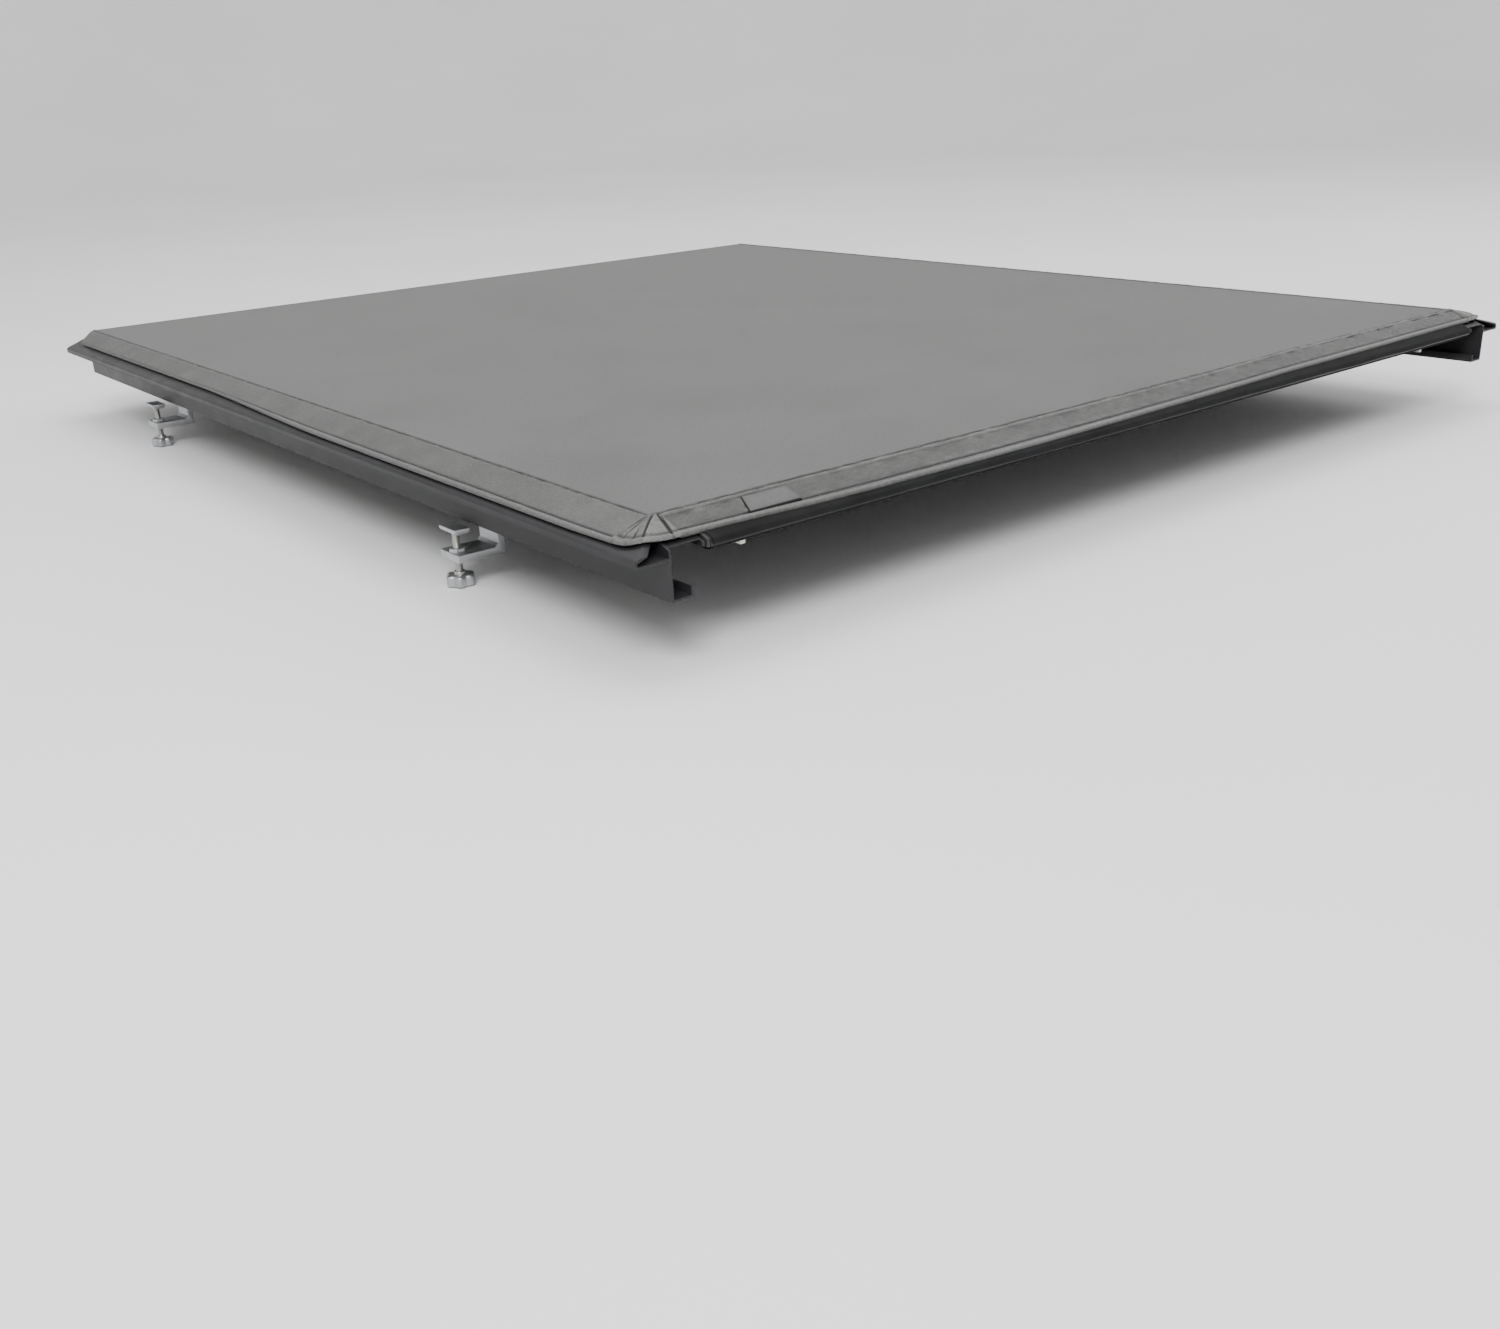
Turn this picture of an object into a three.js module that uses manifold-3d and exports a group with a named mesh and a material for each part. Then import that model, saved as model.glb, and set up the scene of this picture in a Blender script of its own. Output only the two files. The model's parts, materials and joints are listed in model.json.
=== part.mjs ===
// Soft roll-up tonneau cover for a short pickup bed.
//
// Frame: +Z up, +Y towards the cab, +X towards the passenger side, millimetres.
// The origin is the centre of the bulkhead seal's flat underside, so Z = 0 is the
// plane of the bed caps that the side rails and the seal rest on.
//
// The cover is a vinyl sheet carried by a front header, three bows and a rear bar.
// Two clamped side rails hold it down. The sheet is divided into straight sections
// that hinge on lines in its top surface, so that it rolls into a square coil
// behind the cab. Dimensions below "INNER" are measured from the front edge.

import * as THREE from "three";
import { mergeVertices } from "three/addons/utils/BufferGeometryUtils.js";
import Module from "manifold-3d";

const wasm = await Module();
wasm.setup();

// ---------- driving dimensions ----------
const FRONT_OFFSET = 22; // front edge of the cover ahead of the seal's centre line
const LENGTH = 1590; // cover, front edge to rear edge
const HALF_FLAT = 665; // half width of the flat top
const HALF_WIDTH = 710; // half width at the lower edge of the side flaps
const Z_TOP = 30; // top surface above the bed caps
const Z_EDGE = 14; // lower edge of the sloping flaps
const SHEET = 2; // vinyl with its webbing and hem
const BAND = 45; // width of the sloping band, sides and rear
const SLOPE = (Z_TOP - Z_EDGE) / BAND;
const GAP = 0.3; // clearance between pieces that touch

// coil: the outer side, and the clearance each layer needs inside it
const BAR_HINGE = 1530.3; // last hinge line, in front of the rear bar
const COIL_SETBACK = 28; // front edge to the coil
const LAYER = 4; // bare sheet on sheet
const BOW_LAYER = 16; // sheet with a bow under it
const BAR_LAYER = 46; // rear bar with its latch tabs
const TAKE_OFF = [
  0,
  0,
  LAYER,
  BOW_LAYER,
  2 * LAYER,
  BOW_LAYER + LAYER,
  LAYER + (LAYER + BOW_LAYER),
  LAYER + (LAYER + BOW_LAYER),
  2 * LAYER + (LAYER + BOW_LAYER),
  2 * LAYER + (LAYER + BOW_LAYER),
  2 * LAYER + (LAYER + BOW_LAYER) + BAR_LAYER,
];
const COIL =
  (BAR_HINGE - COIL_SETBACK + TAKE_OFF.reduce((a, b) => a + b, 0)) /
  (TAKE_OFF.length + 1);
const FRONT_SECTION = COIL + COIL_SETBACK; // fixed length behind the front edge
const HINGES = [FRONT_SECTION];
for (const t of TAKE_OFF) HINGES.push(HINGES[HINGES.length - 1] + COIL - t);

const BOW_SECTIONS = [2, 5, 8]; // sections that carry a bow at their middle
const CLAMP_Y = [-330, -1230];

// side rail, right hand, measured as x outwards and z up
const WEB_IN = 674.5,
  WEB_OUT = 677;
const LEDGE_IN = 640,
  LEDGE_TOP = 14.7;
const RAIL_FRONT = -4,
  RAIL_REAR = -1586;
const HOOK_IN = 654,
  HOOK_BOTTOM = -34.5;
const RAIL_DROP = 4.35; // rail slope below the flap's outer surface

// bed wall that the clamps grip (not part of the cover)
const WALL_FLANGE_BOTTOM = -38;
const CLAMP_BOLT_X = 688;

const BAR_END = 634; // ends of the front header and the rear bar

// ---------- materials ----------
const mat = (color, roughness, metalness = 0) =>
  new THREE.MeshStandardMaterial({ color, roughness, metalness });
const M = {
  vinyl: mat(0x2c2c2d, 0.62),
  rail: mat(0x1b1c1e, 0.45, 0.6),
  alloy: mat(0xb4b7ba, 0.38, 0.9),
  plastic: mat(0x151516, 0.55),
  rubber: mat(0x0d0d0e, 0.8),
  foam: mat(0x18181a, 0.95),
  hook: mat(0x1a1a1b, 0.95),
  steel: mat(0x9a9da0, 0.35, 1.0),
  webbing: mat(0x17171a, 0.9),
};

// ---------- geometry helpers ----------
const loop = (pts, clockwise) => {
  const v = pts.map(([a, b]) => new THREE.Vector2(a, b));
  return THREE.ShapeUtils.isClockWise(v) === clockwise ? v : v.reverse();
};
const shapeOf = (pts, holes = []) => {
  const s = new THREE.Shape(loop(pts, false));
  for (const h of holes) s.holes.push(new THREE.Path(loop(h, true)));
  return s;
};
const extrude = (pts, depth, holes) =>
  new THREE.ExtrudeGeometry(shapeOf(pts, holes), {
    depth,
    bevelEnabled: false,
    steps: 1,
  });
// profile (x, z) along Y, profile (y, z) along X, profile (x, y) along Z
const alongY = (pts, y0, y1, holes) =>
  extrude(pts, y1 - y0, holes)
    .rotateX(Math.PI / 2)
    .translate(0, y1, 0);
const alongX = (pts, x0, x1, holes) =>
  extrude(pts, x1 - x0, holes)
    .applyMatrix4(
      new THREE.Matrix4().makeBasis(
        new THREE.Vector3(0, 1, 0),
        new THREE.Vector3(0, 0, 1),
        new THREE.Vector3(1, 0, 0),
      ),
    )
    .translate(x0, 0, 0);
const alongZ = (pts, z0, z1, holes) =>
  extrude(pts, z1 - z0, holes).translate(0, 0, z0);
const block = (x0, x1, y0, y1, z0, z1) =>
  new THREE.BoxGeometry(x1 - x0, y1 - y0, z1 - z0).translate(
    (x0 + x1) / 2,
    (y0 + y1) / 2,
    (z0 + z1) / 2,
  );
const ring = (cx, cy, r, n, turn = 0) =>
  Array.from({ length: n }, (_, i) => {
    const a = turn + (2 * Math.PI * i) / n;
    return [cx + r * Math.cos(a), cy + r * Math.sin(a)];
  });
const mirrorPts = (pts, s) => pts.map(([a, b]) => [s * a, b]);

const solid = (geometry) => {
  if (geometry instanceof wasm.Manifold) return geometry;
  const g = geometry.clone();
  g.deleteAttribute("normal");
  g.deleteAttribute("uv");
  const m = mergeVertices(g, 1e-3);
  return new wasm.Manifold(
    new wasm.Mesh({
      numProp: 3,
      vertProperties: new Float32Array(m.attributes.position.array),
      triVerts: new Uint32Array(m.index.array),
    }),
  );
};
const geometryOf = (s) => {
  const m = s.getMesh();
  return new THREE.BufferGeometry()
    .setAttribute(
      "position",
      new THREE.BufferAttribute(new Float32Array(m.vertProperties), 3),
    )
    .setIndex(new THREE.BufferAttribute(new Uint32Array(m.triVerts), 1));
};
const join = (...gs) => gs.map(solid).reduce((a, b) => a.add(b));
const cut = (g, ...tools) =>
  tools.map(solid).reduce((a, b) => a.subtract(b), solid(g));

// The x-z outline mirrored to the left side keeps its place by swapping y ends too.
const sided = (s, x0, x1) => (s > 0 ? [x0, x1] : [-x1, -x0]);
const blockS = (s, x0, x1, ...rest) => block(...sided(s, x0, x1), ...rest);

const root = new THREE.Group();
root.name = "tonneau_cover";
root.position.set(0, FRONT_OFFSET, 0);
const group = (parent = root) => {
  const g = new THREE.Group();
  parent.add(g);
  return g;
};
const put = (parent, name, body, material, at = [0, 0, 0]) => {
  const geometry = geometryOf(solid(body));
  geometry.translate(-at[0], -at[1], -at[2]);
  const m = new THREE.Mesh(geometry, material);
  m.name = name;
  m.position.set(...at);
  parent.add(m);
  return m;
};

// ---------- the sheet ----------
const N = Math.hypot(BAND, Z_TOP - Z_EDGE);
const nx = (Z_TOP - Z_EDGE) / N,
  nz = BAND / N; // inward normal of the slope, (-nx, -nz)
const INNER_X = HALF_FLAT - (SHEET * (1 - nz)) / nx; // inner fold line
const TIP = [HALF_WIDTH - SHEET * nx, Z_EDGE - SHEET * nz];
const SHEET_PROFILE = [
  [-HALF_WIDTH, Z_EDGE],
  [-TIP[0], TIP[1]],
  [-INNER_X, Z_TOP - SHEET],
  [INNER_X, Z_TOP - SHEET],
  TIP,
  [HALF_WIDTH, Z_EDGE],
  [HALF_FLAT, Z_TOP],
  [-HALF_FLAT, Z_TOP],
];
const sheet = group();
const SKIRT_BOTTOM = 9;
put(
  sheet,
  "tarp_front_section",
  join(
    alongY(SHEET_PROFILE, -FRONT_SECTION + GAP, 0),
    alongY(
      [
        [-TIP[0], SKIRT_BOTTOM],
        [TIP[0], SKIRT_BOTTOM],
        [TIP[0], TIP[1]],
        [HALF_WIDTH, Z_EDGE],
        [HALF_FLAT, Z_TOP],
        [-HALF_FLAT, Z_TOP],
        [-HALF_WIDTH, Z_EDGE],
        [-TIP[0], TIP[1]],
      ],
      -2,
      0,
    ),
  ),
  M.vinyl,
  [0, 0, Z_TOP],
);
const sections = [];
for (let k = 1; k < HINGES.length; k++) {
  const y0 = -HINGES[k] + GAP,
    y1 = -HINGES[k - 1] - GAP;
  const g = group(sheet);
  sections.push(g);
  put(
    g,
    `tarp_section_${String(k).padStart(2, "0")}`,
    alongY(SHEET_PROFILE, y0, y1),
    M.vinyl,
    [0, -HINGES[k - 1], Z_TOP],
  );
}

// ---------- bows: flat oval tubes with a plug in each end ----------
const BOW_TOP = 27.6;
const oval = (w, h, y, top) => {
  const r = h / 2,
    c = top - r,
    out = [];
  for (let i = 0; i <= 4; i++) {
    const a = -Math.PI / 2 + (Math.PI * i) / 4;
    out.push([y + w / 2 - r + r * Math.cos(a), c + r * Math.sin(a)]);
  }
  for (let i = 0; i <= 4; i++) {
    const a = Math.PI / 2 + (Math.PI * i) / 4;
    out.push([y - w / 2 + r + r * Math.cos(a), c + r * Math.sin(a)]);
  }
  return out;
};
BOW_SECTIONS.forEach((k, i) => {
  const y = -(HINGES[k - 1] + HINGES[k]) / 2;
  const g = group(sections[k - 1]);
  put(
    g,
    `bow_${i + 1}`,
    alongX(oval(25, 10, y, BOW_TOP), -640, 640, [
      oval(22, 7, y, BOW_TOP - 1.5),
    ]),
    M.alloy,
    [0, y, BOW_TOP],
  );
  for (const s of [-1, 1])
    put(
      g,
      `bow_${i + 1}_plug_${s < 0 ? "left" : "right"}`,
      join(
        alongX(oval(25, 12.2, y, BOW_TOP), ...sided(s, 640.3, 658.6)),
        alongX(oval(21.2, 6.2, y, BOW_TOP - 1.9), ...sided(s, 620, 641)),
      ),
      M.plastic,
      [s * 650, y, BOW_TOP],
    );
});

// ---------- rear bar ----------
const Y_HEM = -(LENGTH - BAND),
  Y_REAR = -LENGTH;
const rear = group();
const barSlope = (y, drop) => Z_TOP - drop - SLOPE * (Y_HEM - y);
{
  // wrap: a hipped shell, sloping at the rear and at both ends
  const hull = (x0, x1, y0, y1, z0, z1, inset) => {
    // frustum: flat top x +-x1, from y1 to the hinge; foot x +-x0, from y0
    const v = [];
    const yh = -BAR_HINGE - GAP;
    const top = [
      [-x1, yh],
      [x1, yh],
      [x1, y1],
      [-x1, y1],
    ];
    const foot = [
      [-x0, yh],
      [x0, yh],
      [x0, y0],
      [-x0, y0],
    ];
    for (const [x, y] of top) v.push(x, y + (inset && y === yh ? 5 : 0), z1);
    for (const [x, y] of foot) v.push(x, y + (inset && y === yh ? 5 : 0), z0);
    const f = [
      0, 2, 1, 0, 3, 2, 4, 5, 6, 4, 6, 7, 0, 1, 5, 0, 5, 4, 1, 2, 6, 1, 6, 5, 2,
      3, 7, 2, 7, 6, 3, 0, 4, 3, 4, 7,
    ];
    const g = new THREE.BufferGeometry()
      .setAttribute(
        "position",
        new THREE.BufferAttribute(new Float32Array(v), 3),
      )
      .setIndex(f);
    return g;
  };
  const over = 6; // how far the inner cut runs below the flap edge
  const outer = hull(HALF_WIDTH, HALF_FLAT, Y_REAR, Y_HEM, Z_EDGE, Z_TOP, false);
  const fx = INNER_X,
    fy = Y_HEM - (INNER_X - HALF_FLAT);
  const run = (Z_TOP - SHEET - (TIP[1] - over)) / SLOPE;
  const inner = hull(
    fx + run,
    fx,
    fy - run,
    fy,
    TIP[1] - over,
    Z_TOP - SHEET,
    true,
  );
  const skirt = block(-BAR_END, BAR_END, Y_REAR, Y_REAR + 2, 7, Z_EDGE);
  put(
    rear,
    "tarp_rear_wrap",
    cut(outer, inner).add(solid(skirt)),
    M.vinyl,
    [0, -BAR_HINGE, Z_TOP],
  );
}
const LATCH_X = { tail: 560, tip: 654, tab: [572, 578] };
const LATCH_Y = [-1557, -1539],
  LATCH_Z = [9, 16],
  LATCH_TRAVEL = 20;
{
  const f = -BAR_HINGE - 2.2,
    b = Y_REAR + 3.5,
    w = 2.2;
  const barOut = [
    [f, 5],
    [f, 27.3],
    [Y_HEM, 27.3],
    [b, barSlope(b, 2.7)],
    [b, 5],
  ];
  const barIn = [
    [f - w, 5 + w],
    [f - w, 27.3 - w],
    [Y_HEM + 0.4, 27.3 - w],
    [b + w, barSlope(b + w, 2.7 + w + 0.2)],
    [b + w, 5 + w],
  ];
  const slots = [-1, 1].map((s) =>
    blockS(s, 546, 585, LATCH_Y[0] + 0.5, LATCH_Y[1] - 0.5, 4, 8),
  );
  put(
    rear,
    "rear_bar",
    cut(alongX(barOut, -BAR_END, BAR_END, [barIn]), ...slots),
    M.rail,
    [0, -BAR_HINGE, Z_TOP],
  );
  put(
    rear,
    "tailgate_seal",
    alongX(
      [
        [-1566, 0],
        [-1564.5, 1.5],
        [-1564.5, 4.7],
        [-1586, 4.7],
        [-1586, 1.5],
        [-1584.5, 0],
      ],
      -632,
      632,
    ),
    M.rubber,
    [0, -1575, 4.7],
  );
  for (const s of [-1, 1]) {
    const side = s < 0 ? "left" : "right";
    const g = group(rear);
    // end cap: a plate with a hole for the tongue and a spigot inside the bar
    const plate = alongX(barOut, ...sided(s, BAR_END + GAP, BAR_END + 3.6));
    const spigot = alongX(
      [
        [f - w - 0.6, 9.6],
        [f - w - 0.6, 23.6],
        [Y_HEM + 0.8, 23.6],
        [-1575, 13.4],
        [-1575, 9.6],
      ],
      ...sided(s, BAR_END - 8, BAR_END + 1),
    );
    put(
      g,
      `rear_bar_cap_${side}`,
      cut(
        join(plate, spigot),
        blockS(
          s,
          BAR_END - 20,
          BAR_END + 10,
          LATCH_Y[0] - 0.6,
          LATCH_Y[1] + 0.6,
          LATCH_Z[0] - 0.6,
          LATCH_Z[1] + 0.6,
        ),
      ),
      M.plastic,
      [s * BAR_END, -1545, 20],
    );
    // guide: an open-topped tray that the tongue slides in
    put(
      g,
      `latch_guide_${side}`,
      cut(
        blockS(s, 505, 625, LATCH_Y[0] - 3, LATCH_Y[1] + 3, 7.5, 17.2),
        blockS(
          s,
          510,
          640,
          LATCH_Y[0] - 0.6,
          LATCH_Y[1] + 0.6,
          LATCH_Z[0] - 0.6,
          20,
        ),
        blockS(s, 547, 584, LATCH_Y[0] + 1, LATCH_Y[1] - 1, 4, 12),
      ),
      M.plastic,
      [s * 560, -1548, 12],
    );
    // tongue with its finger tab
    put(
      g,
      `latch_bolt_${side}`,
      join(
        alongY(
          mirrorPts(
            [
              [LATCH_X.tail, LATCH_Z[0]],
              [LATCH_X.tip, LATCH_Z[0]],
              [LATCH_X.tip, LATCH_Z[0] + 2.5],
              [LATCH_X.tip - 6, LATCH_Z[1]],
              [LATCH_X.tail, LATCH_Z[1]],
            ],
            s,
          ),
          ...LATCH_Y,
        ),
        blockS(
          s,
          ...LATCH_X.tab,
          LATCH_Y[0] + 2.5,
          LATCH_Y[1] - 2.5,
          -13,
          LATCH_Z[0] + 1,
        ),
      ),
      M.steel,
      [s * LATCH_X.tip, -1548, 12.5],
    );
    // return spring, wire 0.9 thick, between the tray's end and the tongue
    {
      const turns = 7,
        r = 2.6,
        x0 = 511.2,
        x1 = 558.8;
      class Coil extends THREE.Curve {
        getPoint(t, out = new THREE.Vector3()) {
          const a = 2 * Math.PI * turns * t;
          return out.set(
            s * (x0 + (x1 - x0) * t),
            -1548 + r * Math.cos(a),
            12.4 + r * Math.sin(a),
          );
        }
      }
      put(
        g,
        `latch_spring_${side}`,
        new THREE.ExtrudeGeometry(shapeOf(ring(0, 0, 0.55, 5)), {
          steps: turns * 8,
          extrudePath: new Coil(),
          bevelEnabled: false,
        }),
        M.steel,
        [s * 535, -1548, 12.4],
      );
    }
  }
}

// ---------- front header ----------
const front = group();
{
  const w = 2.3,
    y0 = -44,
    y1 = -2.5,
    z0 = 4.3,
    z1 = 27.6;
  put(
    front,
    "front_header",
    alongX(
      [
        [y0, z0],
        [y1, z0],
        [y1, z1 - 2],
        [y1 - 2, z1],
        [y0, z1],
      ],
      -BAR_END,
      BAR_END,
      [
        [
          [y0 + w, z0 + w],
          [y1 - w, z0 + w],
          [y1 - w, z1 - w - 1],
          [y1 - w - 1, z1 - w],
          [y0 + w, z1 - w],
        ],
      ],
    ),
    M.rail,
    [0, -23, 16],
  );
  put(
    front,
    "bulkhead_seal",
    alongX(
      [
        [-35, 0],
        [-9, 0],
        [-7, 1.8],
        [-8.5, 4],
        [-35.5, 4],
        [-37, 1.8],
      ],
      -632,
      632,
    ),
    M.rubber,
    [0, -22, 0],
  );
  for (const s of [-1, 1]) {
    const side = s < 0 ? "left" : "right";
    const g = group(front);
    put(
      g,
      `header_corner_${side}`,
      cut(
        join(
          blockS(s, BAR_END + GAP, 658.6, y0, y1 - 2, 15, 27.6),
          blockS(s, 658, 668, y0, y1 - 2, 15, 19.5),
          blockS(s, 614, BAR_END + 1, y0 + w + 0.5, y1 - w - 0.5, 15.2, 24.6),
        ),
        alongY(ring(s * 647, 21.3, 3.4, 10), y0 - 5, -14),
      ),
      M.plastic,
      [s * 645, -23, 15],
    );
    put(
      g,
      `tension_screw_${side}`,
      join(
        alongY(ring(s * 647, 21.3, 5.2, 6), y0 - 6.3, y0 - GAP),
        alongY(ring(s * 647, 21.3, 2.9, 10), y0 - 1, -16),
      ),
      M.steel,
      [s * 647, y0, 21.3],
    );
    // storage strap: a tab sewn to the header and the strap folded up behind it
    const x = 350 * s;
    put(
      g,
      `storage_strap_${side}`,
      alongX(
        [
          [-47, 23],
          [-47, 24.6],
          [-160, 24.6],
          [-160, 15.5],
          [-71, 15.5],
          [-71, 23],
        ],
        x - 12.5,
        x + 12.5,
      ),
      M.webbing,
      [x, -47, 24],
    );
    put(
      g,
      `strap_buckle_${side}`,
      alongZ(
        [
          [x - 15, -160.4],
          [x - 18, -163],
          [x - 18, -190],
          [x - 13, -200],
          [x + 13, -200],
          [x + 18, -190],
          [x + 18, -163],
          [x + 15, -160.4],
        ],
        14.5,
        25,
      ),
      M.plastic,
      [x, -180, 20],
    );
  }
}

// ---------- side rails ----------
const rails = group();
const railSlope = (x) => Z_TOP - RAIL_DROP - SLOPE * (x - HALF_FLAT);
for (const s of [-1, 1]) {
  const side = s < 0 ? "left" : "right";
  const g = group(rails);
  const t = 2.3;
  const outline = [
    [711, 2.3],
    [711, 8.2],
    [709.4, 9.4],
    [708, railSlope(708)],
    [663.5, railSlope(663.5)],
    [660, railSlope(663.5)],
    [660, railSlope(663.5) - t],
    [663.5, railSlope(663.5) - t - 0.2],
    [WEB_IN, railSlope(WEB_IN) - t - 0.2],
    [WEB_IN, LEDGE_TOP],
    [LEDGE_IN, LEDGE_TOP],
    [LEDGE_IN, 7],
    [LEDGE_IN + t, 7],
    [LEDGE_IN + t, LEDGE_TOP - t],
    [WEB_IN, LEDGE_TOP - t],
    [WEB_IN, HOOK_BOTTOM + 2.5],
    [HOOK_IN + 2.5, HOOK_BOTTOM + 2.5],
    [HOOK_IN + 2.5, -25],
    [HOOK_IN, -25],
    [HOOK_IN, HOOK_BOTTOM],
    [WEB_OUT, HOOK_BOTTOM],
    [WEB_OUT, 2.3],
  ];
  const chamber = [
    [WEB_OUT, 4.6],
    [708.5, 4.6],
    [708.5, 7.4],
    [706.6, 8.0],
    [WEB_OUT, railSlope(WEB_OUT) - t - 0.2],
  ];
  const mitre = alongX(
    [
      [-1530, Z_TOP - RAIL_DROP + SLOPE * 15],
      [-1600, Z_TOP - RAIL_DROP - SLOPE * 55],
      [-1600, 60],
      [-1530, 60],
    ],
    -800,
    800,
  );
  const notch = blockS(s, 630, 661, -1564, -1534, 5, 18);
  put(
    g,
    `side_rail_${side}`,
    cut(
      alongY(mirrorPts(outline, s), RAIL_REAR, RAIL_FRONT, [
        mirrorPts(chamber, s),
      ]),
      mitre,
      notch,
    ),
    M.rail,
    [s * WEB_OUT, 0, 0],
  );
  const under = (x, d) => [x, Z_TOP - SLOPE * (x - HALF_FLAT) - d];
  put(
    g,
    `hook_tape_${side}`,
    alongY(
      mirrorPts(
        [under(667, 4.05), under(667, 2.75), under(705, 2.75), under(705, 4.05)],
        s,
      ),
      -1538,
      -8,
    ),
    M.hook,
    [s * 686, 0, 20],
  );
  put(
    g,
    `rail_seal_${side}`,
    blockS(s, 681, 708, -1578, -8, 0, 2),
    M.foam,
    [s * 694, 0, 0],
  );
}

// ---------- clamps ----------
const clamps = group();
let n = 0;
for (const s of [-1, 1])
  for (const y of CLAMP_Y) {
    n++;
    const g = group(clamps);
    g.position.set(0, y, 0);
    if (s < 0) g.rotation.z = Math.PI;
    const bodyOutline = [
      [643.5, -72],
      [697, -72],
      [697, -64],
      [655, -64],
      [651, -60],
      [651, -22],
      [660.5, -22],
      [660.5, -31.3],
      [668.5, -31.3],
      [668.5, -14],
      [643.5, -14],
    ];
    put(
      g,
      `clamp_${n}_body`,
      cut(
        join(
          alongY(bodyOutline, -19, 19),
          alongZ(ring(CLAMP_BOLT_X, 0, 8.5, 6), -66, -60.5),
        ),
        alongZ(ring(CLAMP_BOLT_X, 0, 4.7, 12), -80, -50),
      ),
      M.alloy,
      [CLAMP_BOLT_X, 0, -64],
    );
    put(
      g,
      `clamp_${n}_pad`,
      alongY(
        [
          [679.3, WALL_FLANGE_BOTTOM],
          [679.3, -41.5],
          [682, -44],
          [694, -44],
          [697, -41.5],
          [697, WALL_FLANGE_BOTTOM],
        ],
        -16,
        16,
      ),
      M.alloy,
      [CLAMP_BOLT_X, 0, WALL_FLANGE_BOTTOM],
    );
    const star = Array.from({ length: 12 }, (_, i) => {
      const a = (Math.PI * i) / 6,
        r = i % 2 ? 12 : 15.5;
      return [CLAMP_BOLT_X + r * Math.cos(a), r * Math.sin(a)];
    });
    put(
      g,
      `clamp_${n}_bolt`,
      join(
        alongZ(ring(CLAMP_BOLT_X, 0, 3.9, 12), -90, -44.3),
        alongZ(star, -100, -88),
      ),
      M.steel,
      [CLAMP_BOLT_X, 0, -90],
    );
  }

export default root;
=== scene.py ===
import json
import math

import bmesh
import bpy
import numpy as np
from mathutils import Matrix, Vector

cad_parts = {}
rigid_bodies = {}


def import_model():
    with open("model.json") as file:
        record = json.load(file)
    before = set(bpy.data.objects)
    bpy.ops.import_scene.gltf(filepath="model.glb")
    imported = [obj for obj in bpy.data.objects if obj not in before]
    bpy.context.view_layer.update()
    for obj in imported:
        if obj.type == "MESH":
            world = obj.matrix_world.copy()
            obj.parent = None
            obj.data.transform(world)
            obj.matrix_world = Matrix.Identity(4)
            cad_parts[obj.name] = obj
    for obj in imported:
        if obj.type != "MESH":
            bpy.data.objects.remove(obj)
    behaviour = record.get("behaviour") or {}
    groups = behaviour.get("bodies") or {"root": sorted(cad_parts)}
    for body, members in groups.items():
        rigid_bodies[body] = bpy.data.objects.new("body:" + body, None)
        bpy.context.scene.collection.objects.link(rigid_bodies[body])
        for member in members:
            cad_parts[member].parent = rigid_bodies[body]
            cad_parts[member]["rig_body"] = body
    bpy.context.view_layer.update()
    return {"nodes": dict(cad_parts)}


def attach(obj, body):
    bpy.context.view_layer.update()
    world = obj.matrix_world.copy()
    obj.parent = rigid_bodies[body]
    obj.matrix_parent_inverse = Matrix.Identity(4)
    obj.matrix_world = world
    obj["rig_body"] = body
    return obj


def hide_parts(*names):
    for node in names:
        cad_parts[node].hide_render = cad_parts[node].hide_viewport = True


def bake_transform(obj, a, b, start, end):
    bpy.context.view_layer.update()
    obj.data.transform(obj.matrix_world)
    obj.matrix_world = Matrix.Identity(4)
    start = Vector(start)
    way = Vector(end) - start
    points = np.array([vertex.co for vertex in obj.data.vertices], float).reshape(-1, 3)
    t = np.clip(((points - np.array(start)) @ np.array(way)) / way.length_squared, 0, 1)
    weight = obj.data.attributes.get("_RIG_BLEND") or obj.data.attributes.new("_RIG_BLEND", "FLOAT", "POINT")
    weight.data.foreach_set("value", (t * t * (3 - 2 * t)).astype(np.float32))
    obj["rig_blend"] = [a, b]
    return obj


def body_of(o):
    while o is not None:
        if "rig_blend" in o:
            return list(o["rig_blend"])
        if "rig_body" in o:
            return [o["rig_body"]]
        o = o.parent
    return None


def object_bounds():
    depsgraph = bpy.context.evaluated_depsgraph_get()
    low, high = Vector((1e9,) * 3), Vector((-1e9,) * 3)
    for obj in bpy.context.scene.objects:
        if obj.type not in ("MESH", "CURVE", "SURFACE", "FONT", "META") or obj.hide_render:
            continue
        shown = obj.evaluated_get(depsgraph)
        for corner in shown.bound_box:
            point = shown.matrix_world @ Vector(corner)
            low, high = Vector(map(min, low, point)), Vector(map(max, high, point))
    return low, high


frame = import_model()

# Lengths below are millimetres in the cover's own layout: y runs back from the front
# edge (so it is negative), x to the passenger side, z up from the bed caps.
FRONT = 22.0  # front edge ahead of the row's origin
LENGTH, FLAT, WIDE = 1590.0, 665.0, 710.0
TOP, EDGE = 30.0, 14.0
SLOPE = (TOP - EDGE) / 45.0
ANG = math.atan(SLOPE)
CA, SA = math.cos(ANG), math.sin(ANG)
HEM = -(LENGTH - 45.0)
LAYER, BOW_LAYER, BAR_LAYER = 4, 16, 46
TAKE = [0, 0, 4, 16, 8, 20, 24, 24, 28, 28, 74]
COIL = (1530.3 - 28 + sum(TAKE)) / 12
HINGE = [COIL + 28]
for _t in TAKE:
    HINGE.append(HINGE[-1] + COIL - _t)
MID = [(HINGE[i] + HINGE[i + 1]) / 2 for i in range(11)]  # middle of section i + 1
BODY = ["frame"] + [f"section_{k:02d}" for k in range(1, 12)] + ["rear_rail"]
BOWS = [2, 5, 8]


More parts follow.
